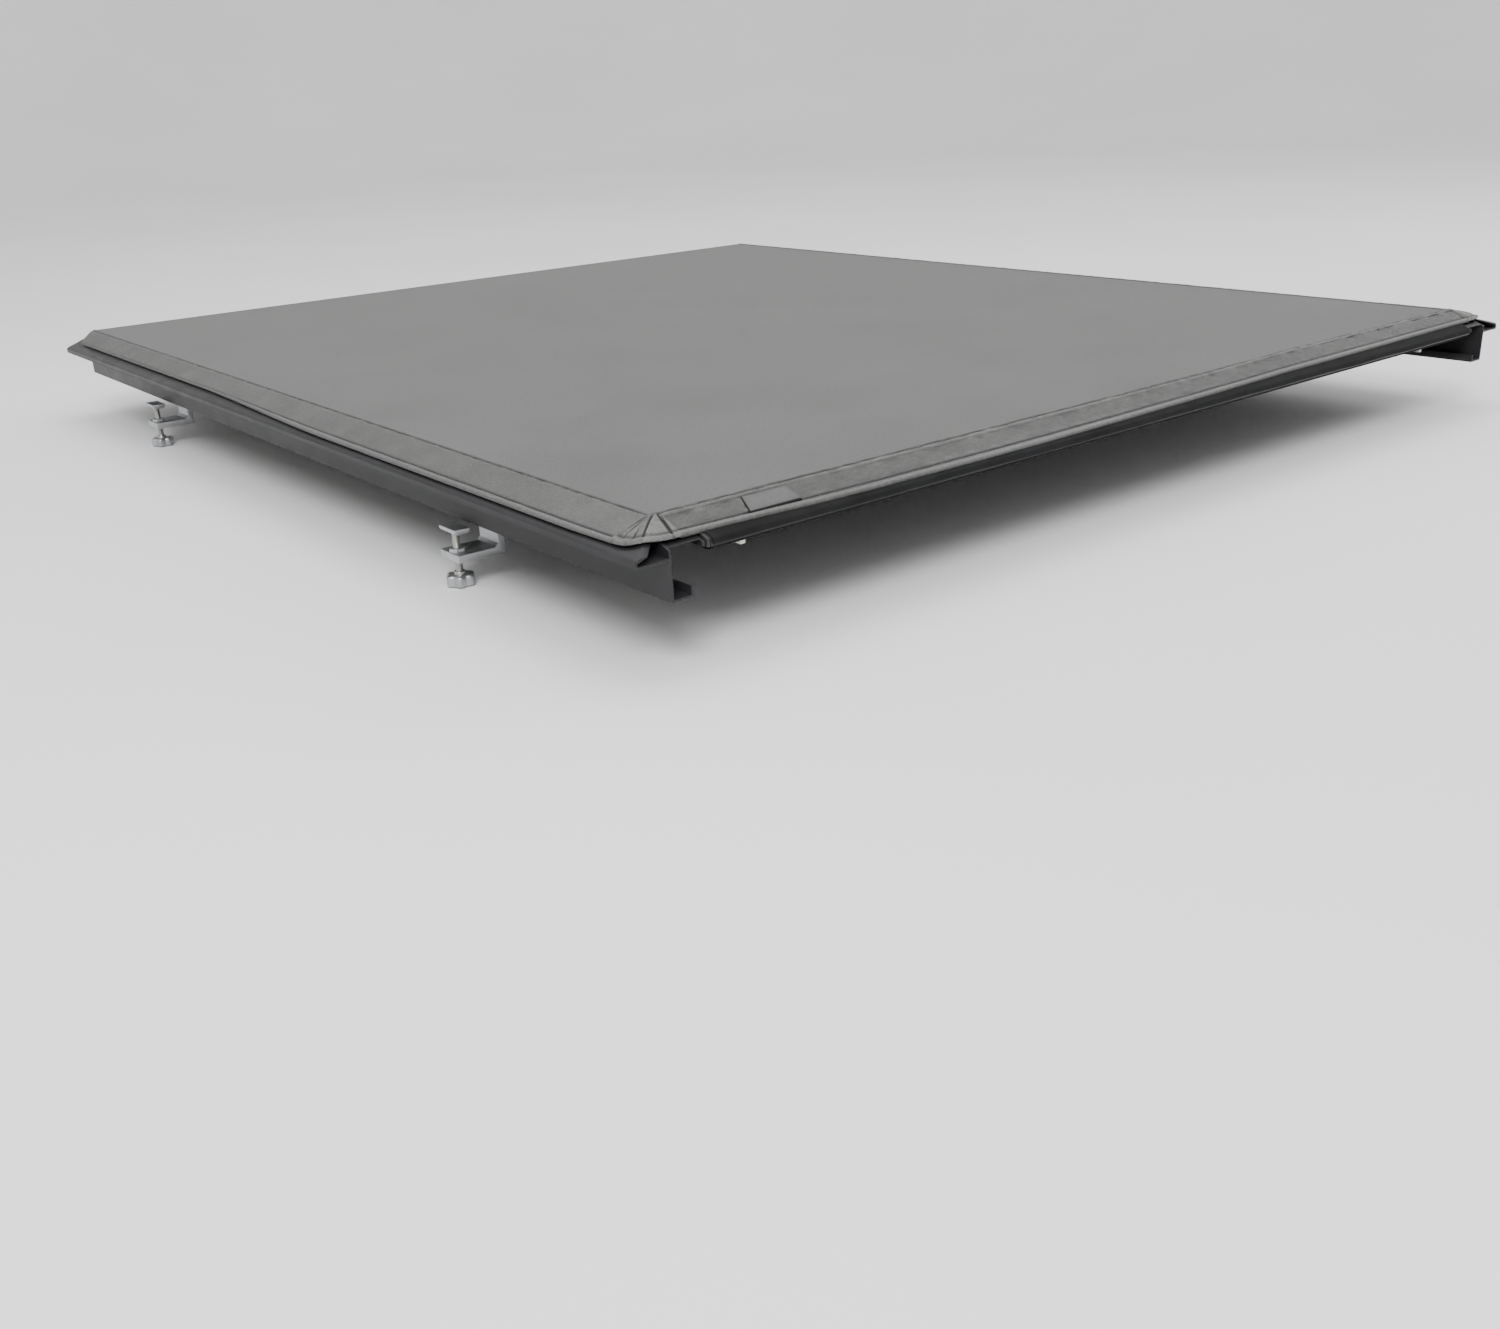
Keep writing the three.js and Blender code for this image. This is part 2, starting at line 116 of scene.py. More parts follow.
def row(v):
    """Layout millimetres to row-frame metres."""
    v = np.asarray(v, float)
    return (v + np.array([0, FRONT, 0])) / 1000.0


# ---------------------------------------------------------------- noise
def vnoise(x, seed, wave):
    """Smooth 1-D noise in -1..1 with features about `wave` apart."""
    r = np.random.RandomState(seed)
    t = r.rand(4096) * 2 - 1
    u = np.asarray(x, float) / wave + 2000.0
    i = np.floor(u).astype(int)
    f = u - i
    g = lambda k: t[(i + k) % 4096]
    a, b, c, d = g(-1), g(0), g(1), g(2)
    return b + 0.5 * f * (
        c - a + f * (2 * a - 5 * b + 4 * c - d + f * (3 * (b - c) + d - a))
    )


def vnoise2(x, y, seed, wave):
    """Smooth 2-D value noise in -1..1."""
    r = np.random.RandomState(seed)
    t = r.rand(256, 256) * 2 - 1
    u, v = np.asarray(x, float) / wave + 900, np.asarray(y, float) / wave + 900
    i, j = np.floor(u).astype(int), np.floor(v).astype(int)
    fu, fv = u - i, v - j
    fu, fv = fu * fu * (3 - 2 * fu), fv * fv * (3 - 2 * fv)
    g = lambda a, b: t[(i + a) % 256, (j + b) % 256]
    return (g(0, 0) * (1 - fu) + g(1, 0) * fu) * (1 - fv) + (
        g(0, 1) * (1 - fu) + g(1, 1) * fu
    ) * fv


def bell(t, c, w):
    return np.exp(-(((t - c) / w) ** 2))


def ease(t):
    t = np.clip(t, 0, 1)
    return t * t * (3 - 2 * t)


# ---------------------------------------------------------------- materials
class Mat:
    """Small helper that builds a Principled material out of nodes."""

    def __init__(self, name, **sockets):
        self.m = bpy.data.materials.new(name)
        self.m.use_nodes = True
        self.t = self.m.node_tree
        self.t.nodes.clear()
        self.out = self.node("ShaderNodeOutputMaterial")
        self.p = self.node("ShaderNodeBsdfPrincipled")
        self.t.links.new(self.p.outputs[0], self.out.inputs[0])
        for k, v in sockets.items():
            self.p.inputs[k.replace("_", " ")].default_value = v
        self.height = None

    def node(self, kind, **props):
        n = self.t.nodes.new(kind)
        for k, v in props.items():
            setattr(n, k, v)
        return n

    def link(self, a, b):
        self.t.links.new(a, b)
        return self

    def uv(self, per_mm=1.0):
        """Sheet coordinates in millimetres, fixed to the cloth."""
        u = self.node("ShaderNodeUVMap", uv_map="UVMap")
        s = self.node("ShaderNodeVectorMath", operation="SCALE")
        s.inputs["Scale"].default_value = 1000.0 * per_mm
        self.link(u.outputs[0], s.inputs[0])
        return s.outputs[0]

    def obj(self, scale=(1000.0, 1000.0, 1000.0)):
        """Object coordinates in millimetres."""
        c = self.node("ShaderNodeTexCoord")
        s = self.node("ShaderNodeVectorMath", operation="MULTIPLY")
        s.inputs[1].default_value = scale
        self.link(c.outputs["Object"], s.inputs[0])
        return s.outputs[0]

    def noise(self, co, size, detail=2.0, rough=0.5, dims="3D"):
        n = self.node("ShaderNodeTexNoise", noise_dimensions=dims)
        n.inputs["Scale"].default_value = 1.0 / size
        n.inputs["Detail"].default_value = detail
        n.inputs["Roughness"].default_value = rough
        self.link(co, n.inputs["Vector"])
        return n.outputs[0]

    def cells(self, co, size, feature="DISTANCE_TO_EDGE", dims="3D", rand=1.0):
        n = self.node("ShaderNodeTexVoronoi", voronoi_dimensions=dims, feature=feature)
        n.inputs["Scale"].default_value = 1.0 / size
        n.inputs["Randomness"].default_value = rand
        self.link(co, n.inputs["Vector"])
        return n.outputs[0]

    def wave(self, co, size, axis="X", distort=0.0, detail=1.0):
        n = self.node("ShaderNodeTexWave", wave_type="BANDS", bands_direction=axis)
        n.inputs["Scale"].default_value = 1.0 / size * 0.314159
        n.inputs["Distortion"].default_value = distort
        n.inputs["Detail"].default_value = detail
        self.link(co, n.inputs["Vector"])
        return n.outputs[1]

    def math(self, op, a, b=None):
        n = self.node("ShaderNodeMath", operation=op)
        for i, v in enumerate((a, b)):
            if v is None:
                continue
            if isinstance(v, (int, float)):
                n.inputs[i].default_value = v
            else:
                self.link(v, n.inputs[i])
        return n.outputs[0]

    def remap(self, v, lo, hi, a, b):
        n = self.node("ShaderNodeMapRange")
        for s, x in zip(
            ("From Min", "From Max", "To Min", "To Max"), (lo, hi, a, b)
        ):
            n.inputs[s].default_value = x
        self.link(v, n.inputs["Value"])
        return n.outputs[0]

    def ramp(self, fac, *stops):
        n = self.node("ShaderNodeValToRGB")
        e = n.color_ramp.elements
        while len(e) < len(stops):
            e.new(0.5)
        for el, (p, c) in zip(e, stops):
            el.position = p
            el.color = (*c, 1) if len(c) == 3 else c
        self.link(fac, n.inputs[0])
        return n.outputs[0]

    def mix(self, fac, a, b, blend="MIX"):
        n = self.node("ShaderNodeMix", data_type="RGBA", blend_type=blend)
        if isinstance(fac, (int, float)):
            n.inputs[0].default_value = fac
        else:
            self.link(fac, n.inputs[0])
        for i, v in ((6, a), (7, b)):
            if isinstance(v, tuple):
                n.inputs[i].default_value = (*v, 1)
            else:
                self.link(v, n.inputs[i])
        return n.outputs[2]

    def bump(self, height, mm, strength=1.0):
        """A layer of relief `mm` deep, on top of those before."""
        b = self.node("ShaderNodeBump")
        b.inputs["Strength"].default_value = strength
        b.inputs["Distance"].default_value = mm / 1000.0
        self.link(height, b.inputs["Height"])
        if self.height is not None:
            self.link(self.height, b.inputs["Normal"])
        self.height = b.outputs[0]
        self.link(self.height, self.p.inputs["Normal"])
        return self

    def color(self, out):
        return self.link(out, self.p.inputs["Base Color"])

    def rough(self, out):
        return self.link(out, self.p.inputs["Roughness"])


def vinyl(name, dark, light, rough, grain, speck=0.12, relief_shaded=False):
    m = Mat(name, Specular_IOR_Level=0.42)
    m.p.inputs["Sheen Weight"].default_value = 0.06
    m.p.inputs["Sheen Roughness"].default_value = 0.5
    uv = m.uv()
    broad = m.noise(uv, 210.0, 3.0, 0.55)
    fine = m.noise(uv, 0.9, 2.0, 0.6)
    cell = m.cells(uv, grain)
    base = m.ramp(broad, (0.3, dark), (0.7, light))
    speckle = m.math(
        "MULTIPLY",
        m.remap(fine, 0.3, 0.7, 1 - speck, 1 + speck),
        m.remap(m.noise(uv, 3.6, 3.0, 0.65), 0.3, 0.7, 1 - speck * 0.8, 1 + speck * 0.8),
    )
    crease = m.remap(cell, 0.0, 0.35, 0.72, 1.0)
    both = m.math("MULTIPLY", speckle, crease)
    if relief_shaded:
        # painted shade and highlight: hollows of the relief attribute are darkened and its ridges lightened
        at = m.node("ShaderNodeAttribute", attribute_name="relief")
        relief_shade_ramp = m.node("ShaderNodeValToRGB")
        e = relief_shade_ramp.color_ramp.elements
        while len(e) < 4:
            e.new(0.5)
        for el, (p, g) in zip(e, ((0.0, 0.16), (0.36, 0.7), (0.56, 1.12), (1.0, 1.7))):
            el.position, el.color = p, (g, g, g, 1)
        m.link(m.remap(at.outputs["Fac"], -1.4, 2.4, 0.0, 1.0), relief_shade_ramp.inputs[0])
        both = m.math("MULTIPLY", both, relief_shade_ramp.outputs[0])
    mul = m.node("ShaderNodeVectorMath", operation="SCALE")
    m.link(base, mul.inputs[0])
    m.link(both, mul.inputs["Scale"])
    m.color(mul.outputs[0])
    m.rough(
        m.math(
            "ADD",
            m.remap(broad, 0.3, 0.7, rough - 0.035, rough + 0.035),
            m.remap(fine, 0.3, 0.7, -0.04, 0.04),
        )
    )
    m.bump(m.noise(uv, 70.0, 2.0, 0.5), 0.5, 0.35)
    m.bump(m.remap(cell, 0.0, 0.4, 0.0, 1.0), 0.16, 0.55)
    m.bump(fine, 0.06, 0.5)
    return m


MAT = {}
MAT["top"] = vinyl(
    "vinyl_top", (0.088, 0.0865, 0.0855), (0.121, 0.119, 0.118), 0.5, 1.5, 0.24
).m
MAT["band"] = vinyl(
    "vinyl_band", (0.102, 0.101, 0.099), (0.134, 0.133, 0.131), 0.57, 1.1, 0.3, True
).m

# the sheet's back: a woven scrim coated in black
m = Mat("vinyl_back", Roughness=0.8, Specular_IOR_Level=0.3)
uv = m.uv()
wx, wy = m.wave(uv, 1.1, "X", 0.6), m.wave(uv, 1.1, "Y", 0.6)
weave = m.math("MAXIMUM", wx, wy)
m.color(m.ramp(weave, (0.1, (0.012, 0.012, 0.013)), (0.9, (0.04, 0.04, 0.042))))
m.rough(m.remap(m.noise(uv, 30.0), 0.3, 0.7, 0.7, 0.88))
m.bump(weave, 0.2, 0.7)
MAT["back"] = m.m

m = Mat("thread", Roughness=0.6)
co = m.obj()
m.color(
    m.ramp(
        m.noise(co, 1.0, 2.0), (0.3, (0.018, 0.018, 0.019)), (0.7, (0.05, 0.05, 0.052))
    )
)
m.bump(m.wave(co, 0.5, "DIAGONAL"), 0.08, 0.6)
MAT["thread"] = m.m


def hard(name, a, b, rough, metallic=0.0, grain=0.35, depth=0.05, spec=0.5, streak=None):
    """Powder coat, moulded plastic, or metal with drawn or cast marks."""
    m = Mat(name, Metallic=metallic, Specular_IOR_Level=spec)
    co = m.obj()
    broad = m.noise(co, 38.0, 4.0, 0.6)
    fine = m.noise(co, grain, 2.0, 0.5)
    m.color(m.ramp(broad, (0.3, a), (0.72, b)))
    m.rough(
        m.math(
            "ADD",
            m.remap(broad, 0.3, 0.7, rough - 0.06, rough + 0.06),
            m.remap(fine, 0.3, 0.7, -0.04, 0.04),
        )
    )
    if streak:
        m.bump(m.noise(m.obj(streak), 1.0, 3.0, 0.6), depth, 0.6)
    m.bump(fine, depth, 0.5)
    return m.m


MAT["coat"] = hard("powder_coat", (0.012, 0.012, 0.013), (0.021, 0.021, 0.023), 0.46, 0.0, 0.7, 0.06, 0.32)
MAT["alloy_x"] = hard(
    "extruded_alloy", (0.5, 0.51, 0.52), (0.63, 0.64, 0.65), 0.36, 1.0, 0.3, 0.03,
    streak=(12.0, 2200.0, 2200.0),
)
MAT["cast"] = hard("cast_alloy", (0.4, 0.41, 0.42), (0.55, 0.56, 0.57), 0.46, 1.0, 0.9, 0.1)
MAT["zinc"] = hard("zinc_steel", (0.42, 0.42, 0.4), (0.6, 0.6, 0.57), 0.34, 1.0, 0.5, 0.03)
MAT["plastic"] = hard("moulded_plastic", (0.012, 0.012, 0.013), (0.022, 0.022, 0.023), 0.5, 0.0, 0.45, 0.07)
MAT["rubber"] = hard("soft_rubber", (0.007, 0.007, 0.007), (0.016, 0.016, 0.017), 0.82, 0.0, 0.5, 0.05, 0.12)

m = Mat("cell_foam", Roughness=0.9, Specular_IOR_Level=0.2)
co = m.obj()
cell = m.cells(co, 0.9, "F1")
m.color(m.ramp(cell, (0.1, (0.007, 0.007, 0.008)), (0.8, (0.03, 0.03, 0.032))))
m.rough(m.remap(m.noise(co, 14.0), 0.3, 0.7, 0.82, 0.95))
m.bump(cell, 0.25, 0.8)
MAT["foam"] = m.m

MAT["label"] = vinyl(
    "label_vinyl", (0.1, 0.099, 0.098), (0.125, 0.124, 0.123), 0.5, 0.8, 0.12, True
).m
MAT["sleeve"] = vinyl(
    "vinyl_sleeve", (0.02, 0.02, 0.021), (0.034, 0.034, 0.035), 0.62, 1.3, 0.25
).m

m = Mat("hook_loops", Roughness=0.85, Specular_IOR_Level=0.25)
m.p.inputs["Sheen Weight"].default_value = 0.2
co = m.uv()
dots = m.cells(co, 1.3, "F1", rand=0.25)
m.color(m.ramp(dots, (0.12, (0.05, 0.05, 0.052)), (0.55, (0.008, 0.008, 0.009))))
m.rough(m.remap(m.noise(co, 9.0), 0.3, 0.7, 0.75, 0.92))
m.bump(m.remap(dots, 0.0, 0.5, 1.0, 0.0), 0.7, 0.9)
MAT["hook"] = m.m

m = Mat("webbing", Specular_IOR_Level=0.35)
m.p.inputs["Sheen Weight"].default_value = 0.25
uv = m.uv()
herring = m.wave(uv, 1.9, "DIAGONAL", 0.3)
warp = m.wave(uv, 1.4, "X", 0.2)
both = m.math("MULTIPLY", herring, warp)
m.color(m.ramp(both, (0.1, (0.008, 0.008, 0.009)), (0.8, (0.045, 0.045, 0.048))))
m.rough(m.remap(both, 0.0, 1.0, 0.85, 0.65))
m.bump(both, 0.3, 0.8)
MAT["webbing"] = m.m


# ---------------------------------------------------------------- mesh building
class Build:
    """Gathers shells of vertices and faces into one mesh with UVs in metres."""

    def __init__(self, name):
        self.name, self.v, self.f, self.mat, self.uv = name, [], [], [], []
        self.relief = []
        self.flat, self.n, self.mats = [], 0, []

    def slot(self, key):
        if key not in self.mats:
            self.mats.append(key)
        return self.mats.index(key)

    def add(self, verts, faces, key, uvs=None, flat=False, relief=None):
        """verts in layout millimetres; uvs one (u, v) in millimetres per vertex, and
        relief the height of the surface above its general level, in millimetres."""
        verts = np.asarray(verts, float)
        uvs = verts[:, :2] if uvs is None else np.asarray(uvs, float)
        base = self.n
        self.v.append(verts)
        self.n += len(verts)
        s = self.slot(key)
        for f in faces:
            self.f.append([base + int(i) for i in f])
            self.mat.append(s)
            self.flat.append(flat)
        self.uv.append(uvs)
        self.relief.append(np.zeros(len(verts)) if relief is None else relief)
        return base

    def sheet(self, outer, inner, uv, key, back="back", relief=None):
        """A closed shell from two (rows, columns, 3) grids. Its rim is sharp."""
        r, c, _ = outer.shape
        n = r * c
        idx = np.arange(n).reshape(r, c)
        a, b, d, e = (
            idx[:-1, :-1].ravel(),
            idx[:-1, 1:].ravel(),
            idx[1:, 1:].ravel(),
            idx[1:, :-1].ravel(),
        )
        # orientation: outward is away from the inner grid
        p = outer.reshape(-1, 3)
        q = inner.reshape(-1, 3)
        k = (len(a)) // 2
        nrm = np.cross(p[b[k]] - p[a[k]], p[e[k]] - p[a[k]])
        up = float(nrm @ (p[a[k]] - q[a[k]])) > 0
        quads = np.stack([a, b, d, e], 1)
        rev = quads[:, ::-1]
        o_f, i_f = (quads, rev + n) if up else (rev, quads + n)
        uvf = uv.reshape(-1, 2)
        rel = np.zeros(n) if relief is None else np.asarray(relief, float).ravel()
        base = self.add(
            np.concatenate([p, q]),
            o_f,
            key,
            np.concatenate([uvf, uvf]),
            relief=np.concatenate([rel, rel * 0]),
        )
        s = self.slot(back)
        for f in i_f:
            self.f.append([base + int(i) for i in f])
            self.mat.append(s)
            self.flat.append(False)
        edges = [
            idx[0, :],
            idx[:, -1],
            idx[-1, ::-1],
            idx[::-1, 0],
        ]
        s = self.slot(key)
        for line in edges:
            for i, j in zip(line[:-1], line[1:]):
                f = [i, i + n, j + n, j] if up else [j, j + n, i + n, i]
                self.f.append([base + int(x) for x in f])
                self.mat.append(s)
                self.flat.append(True)
        return base

    def make(self, body=None, replaces=(), merge=None):
        me = bpy.data.meshes.new(self.name)
        v = row(np.concatenate(self.v))
        me.from_pydata(v.tolist(), [], self.f)
        for k in self.mats:
            me.materials.append(MAT[k])
        me.polygons.foreach_set("material_index", self.mat)
        me.polygons.foreach_set("use_smooth", [not x for x in self.flat])
        uv = np.concatenate(self.uv) / 1000.0
        layer = me.uv_layers.new(name="UVMap")
        loops = np.empty(len(me.loops), np.int32)
        me.loops.foreach_get("vertex_index", loops)
        layer.data.foreach_set("uv", uv[loops].astype(np.float32).ravel())
        me.update()
        # the band and label finishes darken low relief and lighten high relief: painted shade and painted highlight
        rel = me.attributes.new("relief", "FLOAT", "POINT")
        rel.data.foreach_set("value", np.concatenate(self.relief).astype(np.float32))
        # rim edges, where a flat face meets a smooth one, are sharp
        att = me.attributes.new("sharp_edge", "BOOLEAN", "EDGE")
        sharp = np.zeros(len(me.edges), bool)
        le = np.empty(len(me.loops), np.int32)
        me.loops.foreach_get("edge_index", le)
        tot = np.array([p.loop_total for p in me.polygons])
        flat = np.repeat(np.array(self.flat), tot)
        sharp[le[flat]] = True
        att.data.foreach_set("value", sharp)
        o = bpy.data.objects.new(self.name, me)
        bpy.context.scene.collection.objects.link(o)
        if body:
            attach(o, body)
        if replaces:
            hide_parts(*replaces)
        return o


def tube_mesh(path, radius, sides=8, closed=False, squash=1.0):
    """Vertices and faces of a capped tube along a path of points."""
    path = np.asarray(path, float)
    tan = np.gradient(path, axis=0)
    tan /= np.linalg.norm(tan, axis=1)[:, None] + 1e-12
    ref = np.array([0.0, 0.0, 1.0])
    if abs(tan[0] @ ref) > 0.9:
        ref = np.array([1.0, 0.0, 0.0])
    nrm = ref - (tan[0] @ ref) * tan[0]
    nrm /= np.linalg.norm(nrm)
    vs = []
    r = np.broadcast_to(np.asarray(radius, float), (len(path),))
    for i, p in enumerate(path):
        nrm = nrm - (nrm @ tan[i]) * tan[i]
        nrm /= np.linalg.norm(nrm)
        bi = np.cross(tan[i], nrm)
        for k in range(sides):
            a = 2 * math.pi * k / sides
            vs.append(p + r[i] * (math.cos(a) * nrm * squash + math.sin(a) * bi))
    fs = []
    m = len(path)
    for i in range(m - 1):
        for k in range(sides):
            j = (k + 1) % sides
            fs.append([i * sides + k, i * sides + j, (i + 1) * sides + j, (i + 1) * sides + k])
    fs.append(list(range(sides))[::-1])
    fs.append([(m - 1) * sides + k for k in range(sides)])
    return np.array(vs), fs


def stitch(build, pts, nrms, length=3.4, pitch=5.2, r=0.42, key="thread", lift=0.12):
    """Separate thread stitches along a line of surface points, half sunk in it."""
    pts = np.asarray(pts, float)
    seg = np.linalg.norm(np.diff(pts, axis=0), axis=1)
    s = np.concatenate([[0], np.cumsum(seg)])
    total = s[-1]
    at = np.arange(pitch / 2, total - length, pitch)
    if not len(at):
        return
    nrms = np.broadcast_to(np.asarray(nrms, float), pts.shape)
    for a0 in at:
        q = np.array([a0, a0 + length * 0.25, a0 + length * 0.75, a0 + length])
        P = np.stack([np.interp(q, s, pts[:, i]) for i in range(3)], 1)
        N = np.stack([np.interp(q, s, nrms[:, i]) for i in range(3)], 1)
        P = P + N * (np.array([-0.35, lift, lift, -0.35])[:, None])
        v, f = tube_mesh(P, [r * 0.7, r, r, r * 0.7], 6)
        build.add(v, f, key)


# ---------------------------------------------------------------- the sheet
def crown(x, y):
    """Slight crown of the stretched top, none at the header and the rear bar."""
    c = 1.0 - (np.abs(x) / FLAT) ** 2.4
    ends = ease((-y) / 160.0) * ease((y - HEM) / 160.0)
    return 1.3 * c * ends


def band_point(t, lift=0.0, thick=0.0):
    """Across the flap: t is the distance outwards from the fold. Returns the offset
    outwards and the height, on the outer face raised by lift or sunk by thick."""
    t = np.asarray(t, float)
    r = 3.0  # the fold is rounded over this length
    # slope angle eases from 0 to ANG across the fold
    tt = np.linspace(-8, 50, 1161)
    a = ANG * ease((tt + r / 2) / r)
    x = np.concatenate([[0], np.cumsum(np.cos((a[1:] + a[:-1]) / 2)) * (tt[1] - tt[0])])
    z = np.concatenate([[0], -np.cumsum(np.sin((a[1:] + a[:-1]) / 2)) * (tt[1] - tt[0])])
    k = np.argmin(abs(tt))
    x, z = x - x[k], z - z[k]
    px, pz, pa = np.interp(t, tt, x), np.interp(t, tt, z), np.interp(t, tt, a)
    off = lift - thick
    return px + np.sin(pa) * off, TOP + pz + np.cos(pa) * off, pa


T_END = 47.0  # outer edge of the flap
RIB = 3.4


def flap_width(y):
    """How far the lower hem reaches down the slope: it curls under towards the front."""
    y = np.asarray(y, float)
    return 34.6 + 8.6 * ease((-y - 560.0) / 420.0) - 1.4 * ease((-1470.0 - y) / 75.0)


def flap_place(t, y):
    """Distance down the slope and place along the rail of a point of the flap."""
    w = flap_width(y)
    t2 = np.where(t > 30.0, 30.0 + (t - 30.0) * (w - 30.0) / (T_END - 30.0), t)
    trim = 44.0 * np.clip(t2 / 34.6, 0, 1) ** 1.3 * np.clip(1 + y / 95.0, 0, 1)
    return t2, y - trim


def flap_relief(t, y):
    """Outward relief on the side flaps: hem, hook-tape print and lower hem."""
    ribs = 0.5 + 0.5 * np.cos(
        2 * np.pi * (y + 1.1 * vnoise(y, 11, 70.0) + 0.25 * vnoise2(t, y, 5, 9.0)) / RIB
    )
    amp = 0.62 * (0.8 + 0.4 * vnoise2(t, y, 6, 14.0))
    mask = ease((t - 3.5) / 2.5) * ease((37.0 - t) / 2.5)
    h = ribs * amp * mask
    h = h + 0.4 * bell(t, -2.4, 1.2)  # folded hem along the inner edge
    h = h - (0.95 + 0.5 * vnoise(y, 12, 7.0)) * bell(t, 0.4, 0.95)  # sewn groove
    h = h + (0.45 + 0.3 * vnoise(y, 13, 9.0)) * bell(t, 2.8, 1.5)
    h = h - 1.0 * bell(t, 38.4, 1.1)  # lower sewn groove
    h = h + 0.9 * bell(t, 43.0, 2.4)  # rolled lower hem
    h = h + 0.16 * vnoise2(t, y, 7, 26.0) * mask
    h = h + 0.22 * vnoise(y, 8, 17.0) * bell(t, 40.0, 4.0)
    h = h + 0.20 * vnoise(y, 9, 13.0) * bell(t, 1.0, 3.5)
    return h


BT = np.concatenate(
    [
        [-4.0, -3.4, -2.6, -1.8, -1.1, -0.5, 0.0, 0.4, 0.8, 1.4, 2.2, 3.0, 3.9, 5.0, 6.4],
        np.linspace(8.0, 35.0, 11),
        [36.3, 37.3, 38.0, 38.7, 39.4, 40.2, 41.4, 42.7, 44.0, 45.2, 46.2, T_END],
    ]
)


def flap_grid(side, ys, relief=flap_relief):
    T, Y = np.meshgrid(BT, ys)
    lift = 0.55 + relief(T, Y)
    lift = lift - 1.3 * ease((T - 45.6) / 1.4) ** 2  # the lower edge turns under
    lift = lift - 0.5 * ease((-2.6 - T) / 1.4)  # so does the inner edge
    T2, Y2 = flap_place(T, Y)
    x, z, a = band_point(T2, lift)
    base = np.minimum(lift, 0.55)
    th = 0.7 * ease((T + 1.0) / 2.0) + 0.28
    xi, zi, _ = band_point(T2, base - th - np.clip(-(base - 0.55), 0, 9) * 0.2)
    outer = np.stack([side * (FLAT + x), Y2, z], -1)
    inner = np.stack([side * (FLAT + xi), Y2, zi], -1)
    uv = np.stack([side * (FLAT + T) + (0 if side > 0 else -3000), Y], -1)
    rel = relief(T, Y)
    # painted shade: the relief attribute is sunk further at the two sewn grooves so they render darker
    rel = rel - 0.7 * bell(T, 38.4, 1.3) - 0.35 * bell(T, 0.4, 1.4)
    return outer, inner, uv, rel


def hinge_rows(y0, y1, hinge, coarse=13.0):
    """Rows from y0 (front) to y1 (rear), fine where the sheet bends."""
    ys = [y0]
    fine0, fine1 = -hinge + 3, -hinge - 17
    n = max(2, int(abs(y0 - fine0) / coarse))
    ys += list(np.linspace(y0, fine0, n + 1)[1:])
    ys += list(np.linspace(fine0, fine1, 13)[1:])
    n = max(2, int(abs(fine1 - y1) / coarse))
    ys += list(np.linspace(fine1, y1, n + 1)[1:])
    return np.array(ys)


def panel(k):
    """Cover piece across hinge k (1 to 12), with its stretch of both side flaps."""
    y0 = 0.0 if k == 1 else -MID[k - 2]
    y1 = HEM - 1.5 if k == 12 else -MID[k - 1]
    b = Build(f"cover_{k:02d}")
    # top
    ys = hinge_rows(y0, y1, HINGE[k - 1])
    xs = np.concatenate(
        [
            np.linspace(-664.0, -640.0, 4)[:-1],
            np.linspace(-640.0, 640.0, 81),
            np.linspace(640.0, 664.0, 4)[1:],
        ]
    )
    X, Y = np.meshgrid(xs, ys)
    Z = TOP - 0.25 + crown(X, Y)
    outer = np.stack([X, Y, Z], -1)
    inner = np.stack([X, Y, Z - 1.35], -1)
    b.sheet(outer, inner, np.stack([X, Y], -1), "top")
    # flaps
    fy0, fy1 = y0, (HEM + 2.4 if k == 12 else y1)
    if k == 1:
        fy0 = -0.3
    n = int(round((fy0 - fy1) / 0.85))
    fy = np.linspace(fy0, fy1, n + 1)
    for side in (-1, 1):
        o, i, uv, rel = flap_grid(side, fy)
        b.sheet(o, i, uv, "band", relief=rel)
        for t, r in ((0.4, 0.42), (38.4, 0.42)):
            yy = np.linspace(fy0 - 0.8, fy1 + 0.8, max(8, n // 6))
            lift = 0.55 + flap_relief(np.full_like(yy, t), yy)
            tt2, yy2 = flap_place(np.full_like(yy, t), yy)
            x, z, a = band_point(tt2, lift)
            pts = np.stack([side * (FLAT + x), yy2, z], -1)
            nr = np.stack([side * np.sin(a), np.zeros_like(a), np.cos(a)], -1)
            stitch(b, pts, nr, 2.9, 4.6, r)
    if k == 1:
        # the sheet turns down over the front of the header
        t = np.concatenate([np.linspace(-FLAT - 33.6, -FLAT, 13), np.linspace(-640, 640, 60), np.linspace(FLAT, FLAT + 33.6, 13)])
        s = np.sign(t)
        over = np.clip(np.abs(t) - FLAT, 0, None)
        px, pz, _ = band_point(over, 0.0)
        X0 = np.where(over > 0, s * (FLAT + px), t)
        ztop = np.where(over > 0, pz, TOP + 0.2) - 0.1
        rows_o, rows_i, uvs = [], [], []
        low = np.where(over > 0, ztop - 1.4, 9.0)
        trim = -44.0 * np.clip(over / 34.6, 0, 1) ** 1.3
        for q in np.linspace(0, 1, 7):
            z = ztop + (low - ztop) * q
            yo = 0.55 * math.sin(min(1, q * 5) * math.pi / 2) - 0.55 + trim
            rows_o.append(np.stack([X0, yo, z], -1))
            rows_i.append(np.stack([X0, yo - 1.35, z], -1))
            uvs.append(np.stack([X0, 40 + (ztop - z)], -1))
        b.sheet(np.array(rows_o), np.array(rows_i), np.array(uvs), "band")
    o = b.make()
    nodes = {1: ["tarp_front_section", "tarp_section_01"], 12: ["tarp_rear_wrap"]}.get(
        k, [f"tarp_section_{k:02d}"]
    )
    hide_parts(*nodes)
    h = -HINGE[k - 1]
    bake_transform(o, BODY[k - 1], BODY[k], tuple(row((0, h + 5.5, TOP))), tuple(row((0, h - 6.5, TOP))))
    return o


for k in range(1, 13):
    panel(k)

